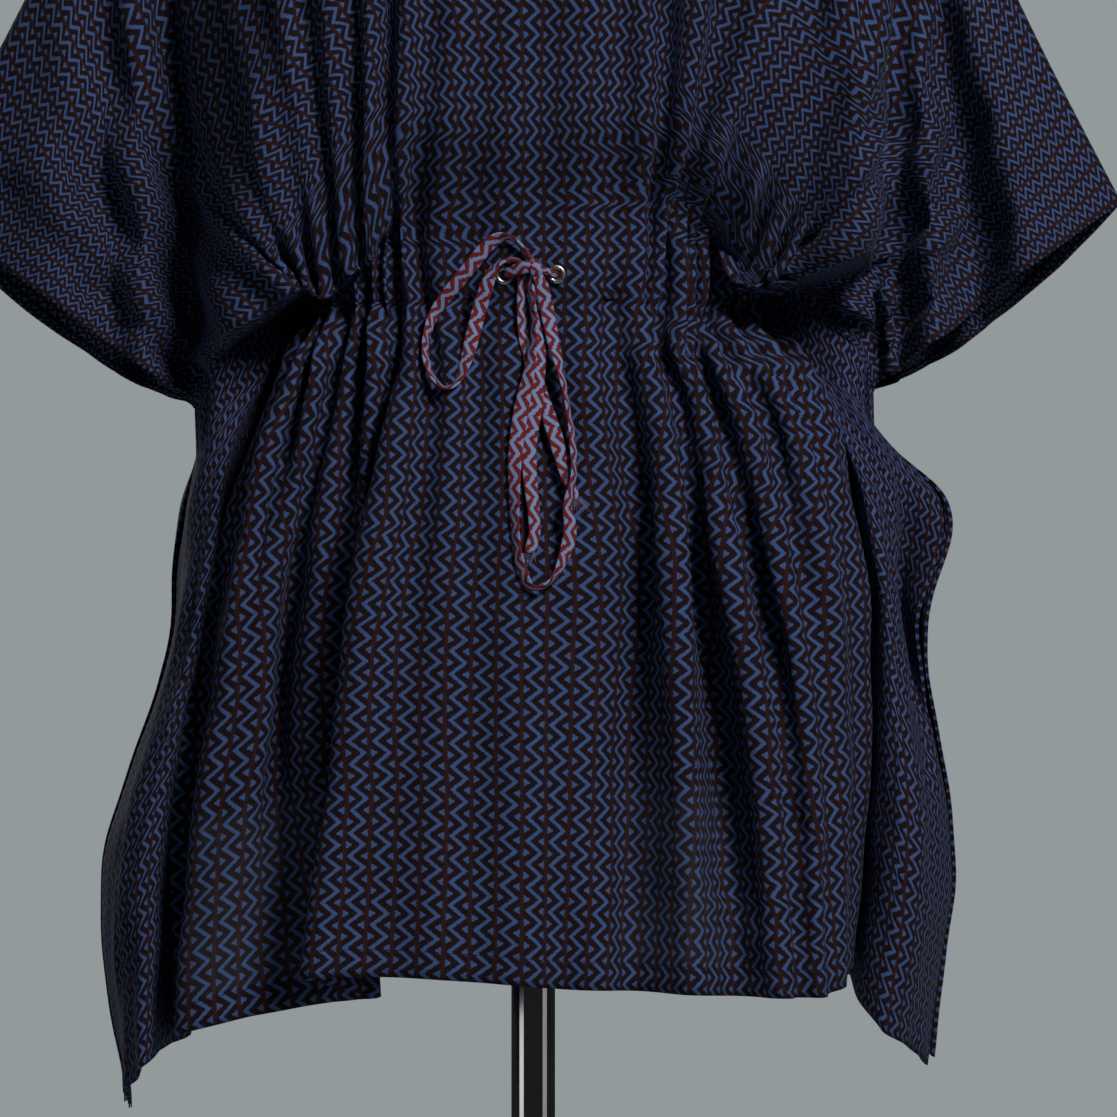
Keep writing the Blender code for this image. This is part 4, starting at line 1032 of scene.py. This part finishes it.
def slipped(across, hung):
    """Across on the cloth once each row has slipped evenly between its seams and its middle."""
    lengths = np.cumsum(np.linalg.norm(np.diff(hung, axis=1, prepend=hung[:, :1]), axis=2), axis=1)
    even = np.array(across)
    for start, end in ((-PANEL_HALF_WIDTH, -STITCH_ACROSS), (-STITCH_ACROSS, 0.0),
                       (0.0, STITCH_ACROSS), (STITCH_ACROSS, PANEL_HALF_WIDTH)):
        first, last = (int(np.argmin(np.abs(across[0] - place))) for place in (start, end))
        part = lengths[:, first:last + 1] - lengths[:, first:first + 1]
        even[:, first:last + 1] = start + (end - start) * part / part[:, -1:]
    return even


def thicken(piece, thickness):
    """Gives thin cloth its real thickness, half of it to each side."""
    wall = piece.modifiers.new("cloth thickness", "SOLIDIFY")
    wall.thickness = thickness
    wall.offset = 0.0
    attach(piece, "root")


def hung_sheet(name, across, down, is_back, folds, skirt, thickness, lift, finish):
    """A flat grid of cloth, hung, with its flat places as a UV map and a real thickness."""
    rows, count = across.shape
    hung = hang(across.ravel(), down.ravel(), is_back, folds, skirt).reshape(rows, count, 3)
    if count == ACROSS_STATIONS.size:
        across = slipped(across, hung)
    facing = np.cross(np.gradient(hung, axis=1), np.gradient(hung, axis=0))
    facing /= np.linalg.norm(facing, axis=2)[:, :, None]
    hung = hung + facing * (-lift if is_back else lift)
    shape = bmesh.new()
    bmesh.ops.create_grid(shape, x_segments=count - 1, y_segments=rows - 1, size=1.0)
    piece = piece_of(name, shape, finish)
    mesh = piece.data
    flat = np.empty(len(mesh.vertices) * 3)
    mesh.vertices.foreach_get("co", flat)
    flat = flat.reshape(-1, 3)
    column = np.rint((flat[:, 0] + 1) / 2 * (count - 1)).astype(int)
    row = np.rint((1 - flat[:, 1]) / 2 * (rows - 1)).astype(int)
    if is_back:
        mesh.flip_normals()
    mesh.vertices.foreach_set("co", hung[row, column].ravel())
    corners = np.empty(len(mesh.loops), int)
    mesh.loops.foreach_get("vertex_index", corners)
    places = np.stack((across[row, column][corners], down[row, column][corners]), axis=1)
    mesh.uv_layers.new(name="cloth").data.foreach_set("uv", places.ravel())
    mesh.shade_smooth()
    mesh.update()
    thicken(piece, thickness)
    return piece


def panel_grid(neck_depth):
    """Across and down at every station; rows start on the neckline."""
    across = np.broadcast_to(ACROSS_STATIONS, (DOWN_STATIONS.size, ACROSS_STATIONS.size))
    start = neck_start(across, neck_depth)
    level = DOWN_STATIONS[:, None]
    bent = start + (CASING_TOP_DOWN - start) * level / CASING_TOP_DOWN
    return across, np.where(level <= CASING_TOP_DOWN, bent, level)


# The print: columns of stepped zigzag in mid blue with a small wedge in every notch, on dark
# maroon, one straight line of ground between the columns. Its sizes are shares of a column's
# width, and of a period for the wedge's height.
ZIGZAG_SWING = 0.28
PRINT_STEPS = 14.0
WEDGE_FOOT = 0.44
WEDGE_WIDTH = 0.29
WEDGE_HALF_HEIGHT = 0.195
BORDER_HALF_WIDTH = 0.080
# Painted backlight: above the lower hem, the cloth's colour is mixed towards pale grey as if light
# from behind showed through the single layer. This is strongest in two places: across and half
# width in m.
BACKLIT_BAND_DOWN = 0.716
BACKLIT_BAND_ABOVE_EDGE = 0.0175
BACKLIT_PLACES = ((-0.215, 0.075), (0.105, 0.045))
STITCH_LENGTH = 0.0027
STITCH_SHARE = 0.72
STITCH_HALF_WIDTH = 0.0003
GROOVE_HALF_WIDTH = 0.0008
CLOTH_WEAVE = 14000.0
BLUE = (0.060, 0.112, 0.280, 1.0)
MAROON = (0.0125, 0.0062, 0.0085, 1.0)
BORDER_LINE = (0.032, 0.0115, 0.0125, 1.0)
# pale grey of the painted backlight, mixed in above the lower hem
PAINTED_BACKLIGHT = (0.120, 0.130, 0.140, 1.0)
STITCH_THREAD = (0.010, 0.012, 0.035, 1.0)


def near_any(half_width, soft, *lines):
    """1 where any of the lines is nearer than half_width."""
    near = lines[0].inside(half_width, soft)
    for line in lines[1:]:
        near = near.either(line.inside(half_width, soft))
    return near


def printed_cotton(name):
    finish, shader, place = new_finish(name)
    spot, across, down = cloth_place(place)
    wander = place.make("ShaderNodeTexNoise", {"noise_dimensions": "2D"},
                        {"Vector": spot, "Scale": 650.0, "Detail": 1.0}) - 0.5
    column = ((across / PRINT_COLUMN + 0.5).fract() - 0.5) + wander * 0.10
    phase = (down / PRINT_PERIOD).fract()
    stepped = ((phase * PRINT_STEPS).math("FLOOR") + 0.5) / PRINT_STEPS
    phase = phase * 0.45 + stepped * 0.55
    swing = abs(phase * 2.0 - 1.0) * 2.0 - 1.0
    line = (column - swing * ZIGZAG_SWING).inside(ZIGZAG_HALF_WIDTH, 0.05)
    wedges = []
    for from_foot, from_notch in ((column + WEDGE_FOOT, (phase + 0.5).fract() - 0.5),
                                  (WEDGE_FOOT - column, phase - 0.5)):
        wedge = 1.0 - from_foot / WEDGE_WIDTH - abs(from_notch) / WEDGE_HALF_HEIGHT
        wedges.append((wedge / 0.16 + 0.3).both(from_foot / 0.04))
    blue = line.either(wedges[0].either(wedges[1]).from_0_to_1())
    border = (0.5 - abs(column)).inside(BORDER_HALF_WIDTH, 0.06)

    slub = place.make("ShaderNodeTexNoise", {"noise_dimensions": "2D"},
                      {"Vector": spot, "Scale": 1500.0, "Detail": 1.0})
    patchy = place.make("ShaderNodeTexNoise", {"noise_dimensions": "2D"},
                        {"Vector": spot, "Scale": 38.0, "Detail": 3.0})
    worn = slub * 0.5 + patchy * 0.5
    fleck = ((slub - 0.56) * 9.0).from_0_to_1()
    ground = border.either(fleck * 0.75).blend(MAROON, BORDER_LINE)
    inked = (blue * (0.80 + 0.30 * worn)).both(1.0).blend(ground, BLUE)
    # painted backlight: a pale grey band above the doubled hem stands for light from behind showing
    # through the cloth
    backlit_band = ((down - BACKLIT_BAND_DOWN) / 0.012).from_0_to_1()
    backlit_band = backlit_band.both(
        ((PANEL_LENGTH - BACKLIT_BAND_ABOVE_EDGE - down) / 0.001).from_0_to_1())
    backlit_left, backlit_right = ((across - middle).inside(half, 0.04) for middle, half in BACKLIT_PLACES)
    backlight_share = backlit_band * backlit_left.either(backlit_right) * (0.020 + 0.100 * patchy)
    inked = backlight_share.blend(inked, PAINTED_BACKLIGHT)

    side_line = abs(across) - STITCH_ACROSS
    casing_top = down - CASING_TOP_DOWN
    casing_bottom = down - CASING_BOTTOM_DOWN
    side_line = side_line + (1.0 - (casing_bottom * 1000.0).from_0_to_1()) * 0.05
    hem_side = abs(across) - (PANEL_HALF_WIDTH - SIDE_HEM)
    hem_low = down - (PANEL_LENGTH - LOW_HEM)
    rows_across = near_any(STITCH_HALF_WIDTH, 0.0002, casing_top, casing_bottom)
    rows_across = rows_across * (0.0 - side_line).math("GREATER_THAN", 0.0)
    rows_across = rows_across.either(near_any(STITCH_HALF_WIDTH, 0.0002, hem_low))
    rows_down = near_any(STITCH_HALF_WIDTH, 0.0002, side_line, hem_side)
    stitches_across, stitches_down = (
        rows * (along / STITCH_LENGTH).fract().math("LESS_THAN", STITCH_SHARE)
        for rows, along in ((rows_across, across), (rows_down, down)))
    stitches = stitches_across.either(stitches_down)
    groove = near_any(GROOVE_HALF_WIDTH, 0.0012, hem_low, hem_side, side_line, casing_top,
                      casing_bottom)

    weave = ((across * CLOTH_WEAVE).math("SINE") + (down * CLOTH_WEAVE).math("SINE")) * 0.25
    crumple = place.make("ShaderNodeTexNoise", {}, {"Vector": place, "Scale": 34.0, "Detail": 2.0})
    crease = place.make("ShaderNodeTexNoise", {"noise_dimensions": "2D"},
                        {"Vector": place.make("ShaderNodeMapping", {},
                                              {"Vector": spot, "Scale": (1.0, 0.28, 1.0)}),
                         "Scale": 95.0, "Detail": 2.0})
    height = (crumple * 1.6 + crease * 1.0 + slub * 0.05 + weave * 0.03
              - groove * 0.30 + stitches * 0.10)
    feed(shader,
         Base_Color=stitches.blend(inked, STITCH_THREAD),
         Roughness=0.88,
         Sheen_Weight=0.02,
         Sheen_Roughness=0.5,
         Specular_IOR_Level=0.12,
         Normal=place.make("ShaderNodeBump", {}, {"Strength": 0.55, "Distance": 0.0012,
                                                  "Height": height}))
    return finish


printed = printed_cotton("printed cotton, zigzag in blue on maroon")
across, down = panel_grid(NECK_DEPTH_FRONT)
front = hung_sheet("cloth_front_panel", across, down, False, FOLDS_FRONT, SKIRT_FRONT,
                   CLOTH_THICKNESS, 0.0, printed)
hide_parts("kaftan_front")


# ---- Back panel ------------------------------------------------------------------------------
# The same rectangle with a shallower neckline, joined to the front along the shoulders and down
# two stitch lines.
SKIRT_BACK = (
    (-560, 556, -206, 12, -215, 12, -252, 8, -239, 6),
    (-500, 566, -204, 38, -211, 48, -238, 52, -239, 50),
    (-440, 580, -186, 46, -196, 64, -216, 68, -224, 76),
    (-400, 590, -166, 24, -184, 36, -208, 42, -213, 50),
    (-360, 596, -146, 0, -168, -4, -203, -6, -201, -12),
    (-320, 600, -152, 46, -178, 56, -204, 58, -206, 56),
    (-275, 606, -136, 72, -156, 92, -176, 100, -186, 104),
    (-240, 612, -120, 68, -136, 78, -152, 84, -162, 96),
    (-205, 618, -108, 90, -122, 112, -136, 118, -144, 124),
    (-170, 622, -90, 82, -98, 92, -108, 96, -116, 104),
    (-135, 625, -76, 104, -84, 126, -92, 134, -98, 142),
    (-100, 625, -58, 96, -60, 106, -64, 110, -70, 122),
    (-65, 624, -40, 110, -42, 132, -46, 144, -48, 152),
    (-28, 622, -18, 98, -18, 110, -20, 116, -20, 130),
    (8, 621, 6, 112, 6, 134, 6, 146, 8, 154),
    (44, 622, 28, 98, 28, 110, 30, 114, 34, 128),
    (80, 624, 48, 109, 52, 131, 58, 142, 62, 150),
    (116, 625, 68, 94, 72, 104, 80, 108, 86, 120),
    (150, 625, 86, 101, 94, 122, 104, 130, 112, 138),
    (185, 624, 102, 82, 110, 92, 122, 98, 130, 108),
    (220, 624, 116, 86, 130, 108, 146, 114, 152, 120),
    (255, 626, 132, 66, 148, 76, 164, 82, 168, 92),
    (305, 634, 152, 50, 178, 64, 188, 66, 184, 64),
    (360, 643, 158, -4, 184, -6, 187, -8, 180, -14),
    (400, 622, 172, 26, 198, 44, 202, 50, 192, 56),
    (445, 604, 188, 34, 212, 46, 216, 74, 206, 78),
    (505, 592, 218, 28, 222, 34, 236, 58, 226, 50),
    (560, 582, 241, 10, 230, 6, 246, 6, 234, 6),
)

across, down = panel_grid(NECK_DEPTH_BACK)
back = hung_sheet("cloth_back_panel", across, down, True, FOLDS_BACK, SKIRT_BACK,
                  CLOTH_THICKNESS, 0.0, printed)
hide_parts("kaftan_back")


# ---- Turned hems -----------------------------------------------------------------------------
# The side edges, the lower edges and the neckline are folded to the inside and stitched down,
# so a second layer of cloth lies behind the last 10 to 16 mm.
NECK_HEM = 0.008
HEM_LIFT = 0.0011
HEM_INSET = 0.0004
HEM_STATIONS = 4
HEM_THICKNESS = 0.00072

low_rows = np.linspace(PANEL_LENGTH - LOW_HEM, PANEL_LENGTH - HEM_INSET, HEM_STATIONS)
side_rows = DOWN_STATIONS[1:].copy()
side_rows[-1] = PANEL_LENGTH - HEM_INSET
side_columns = np.linspace(HEM_INSET, SIDE_HEM, HEM_STATIONS)
neck_rows = np.linspace(HEM_INSET, NECK_HEM, HEM_STATIONS)
near_neck = ACROSS_STATIONS[np.abs(ACROSS_STATIONS) < 0.95 * NECK_HALF_WIDTH]
hems = {True: [], False: []}
for is_back, side, folds, skirt, neck_depth in (
        (False, "front", FOLDS_FRONT, SKIRT_FRONT, NECK_DEPTH_FRONT),
        (True, "back", FOLDS_BACK, SKIRT_BACK, NECK_DEPTH_BACK)):
    for part, across, down in (
            ("left", side_columns[None, :] - PANEL_HALF_WIDTH, side_rows[:, None]),
            ("right", PANEL_HALF_WIDTH - side_columns[None, ::-1], side_rows[:, None]),
            ("low", ACROSS_STATIONS[None, :], low_rows[:, None]),
            ("neck", near_neck[None, :],
             neck_start(near_neck, neck_depth) + neck_rows[:, None])):
        hem = hung_sheet("hem_" + side + "_" + part, *np.broadcast_arrays(across, down), is_back,
                         folds, skirt, HEM_THICKNESS, HEM_LIFT, printed)
        side + "_cotton"
        hems[is_back].append(hem)

for panel, is_back, neck_depth in ((front, False, NECK_DEPTH_FRONT), (back, True, NECK_DEPTH_BACK)):
    cut = 2 * PANEL_HALF_WIDTH * PANEL_LENGTH - 0.5 * math.pi * NECK_HALF_WIDTH * neck_depth


# ---- Waist casing ----------------------------------------------------------------------------
# A plain strip of the same cotton behind the waist, sewn along both edges, in which the
# drawstring runs.
CASING_BEHIND = 0.0042
CASING_HALF_WIDTH = WAIST_HALF_WIDTH * MM - CASING_BEHIND
CASING_HALF_DEPTH = WAIST_HALF_DEPTH * MM - CASING_BEHIND
CASING_LEVELS = 6
CASING_PRINT_RADIUS = 0.115

shape = bmesh.new()
ring = bmesh.ops.create_circle(shape, cap_ends=False, segments=160, radius=1.0)["verts"]
for corner in ring:
    corner.co = (corner.co.x * CASING_HALF_WIDTH, corner.co.y * CASING_HALF_DEPTH,
                 CASING_BOTTOM_Z * MM)
for level in range(CASING_LEVELS):
    grown = bmesh.ops.extrude_edge_only(shape, edges=[
        edge for edge in shape.edges if all(end in ring for end in edge.verts)])
    ring = [item for item in grown["geom"] if isinstance(item, bmesh.types.BMVert)]
    for corner in ring:
        corner.co.z += (CASING_TOP_Z - CASING_BOTTOM_Z) * MM / CASING_LEVELS
bmesh.ops.recalc_face_normals(shape, faces=shape.faces)
cloth = shape.loops.layers.uv.new("cloth")
for face in shape.faces:
    face.smooth = True
    for corner in face.loops:
        turn = math.atan2(corner.vert.co.x, -corner.vert.co.y)
        corner[cloth].uv = (turn * CASING_PRINT_RADIUS,
                            CASING_TOP_DOWN + CASING_TOP_Z * MM - corner.vert.co.z)
casing = piece_of("cloth_waist_casing", shape, printed)
thicken(casing, CLOTH_THICKNESS)
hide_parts("waist_casing")


# ---- Eyelets ---------------------------------------------------------------------------------
# Two small nickel-plated eyelets, rolled over at the rim, let the drawstring out at the centre
# front. In each hole sits a near-black disc of painted shade.
EYELET_RADIUS = 0.0055
EYELET_HOLE_RADIUS = 0.0028
EYELET_ROLL = 0.00085
EYELET_FORWARD = 0.0012
PLUG_DEPTH = 0.0003
EYELETS = (("eyelet_left", (-0.0165, -0.0970, 1.0375)),
           ("eyelet_right", (0.0135, -0.0973, 1.0380)))

nickel, shader, place = new_finish("nickel plate")
scuffs = place.make("ShaderNodeTexNoise", {}, {"Vector": place, "Scale": 700.0, "Detail": 3.0})
feed(shader, Base_Color=scuffs.blend((0.50, 0.49, 0.46, 1.0), (0.66, 0.65, 0.61, 1.0)),
     Metallic=1.0, Roughness=scuffs * 0.25 + 0.16)
# painted shade: the disc inside each eyelet is coloured near-black for the shadow in the hole,
# mottled a little
dark_hole, shader, place = new_finish("shadowed cloth in the eyelet")
hole_shade_mottle = place.make("ShaderNodeTexNoise", {}, {"Vector": place, "Scale": 1200.0})
feed(shader, Base_Color=hole_shade_mottle.blend((0.004, 0.003, 0.004, 1.0), (0.012, 0.008, 0.010, 1.0)),
     Roughness=0.95)

for name, (x, y, z) in EYELETS:
    shape = bmesh.new()
    middle = 0.5 * (EYELET_RADIUS + EYELET_HOLE_RADIUS)
    width = 0.5 * (EYELET_RADIUS - EYELET_HOLE_RADIUS)
    section = bmesh.ops.create_circle(shape, cap_ends=False, segments=16, radius=1.0)["verts"]
    for corner in section:
        corner.co = (middle + width * corner.co.x, EYELET_ROLL * corner.co.y, 0.0)
    bmesh.ops.spin(shape, geom=section + list(shape.edges), cent=(0, 0, 0), axis=(0, 1, 0),
                   angle=2 * math.pi, steps=48, use_merge=True)
    bmesh.ops.remove_doubles(shape, verts=shape.verts, dist=0.00001)
    bmesh.ops.recalc_face_normals(shape, faces=shape.faces)
    for face in shape.faces:
        face.smooth = True
    # a thin disc across the hole carries the painted shade
    plug = bmesh.ops.create_cone(shape, cap_ends=True, segments=32, radius1=middle,
                                 radius2=middle, depth=PLUG_DEPTH)["verts"]
    bmesh.ops.rotate(shape, verts=plug, cent=(0, 0, 0),
                     matrix=Matrix.Rotation(math.pi / 2, 3, "X"))
    bmesh.ops.translate(shape, verts=plug, vec=(0.0, 0.5 * EYELET_ROLL, 0.0))
    for face in shape.faces:
        if all(corner in plug for corner in face.verts):
            face.material_index = 1
    bmesh.ops.translate(shape, verts=shape.verts, vec=(x, y - EYELET_FORWARD, z))
    piece = piece_of("ring_" + name, shape, nickel, dark_hole)
    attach(piece, "root")
    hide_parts(name)
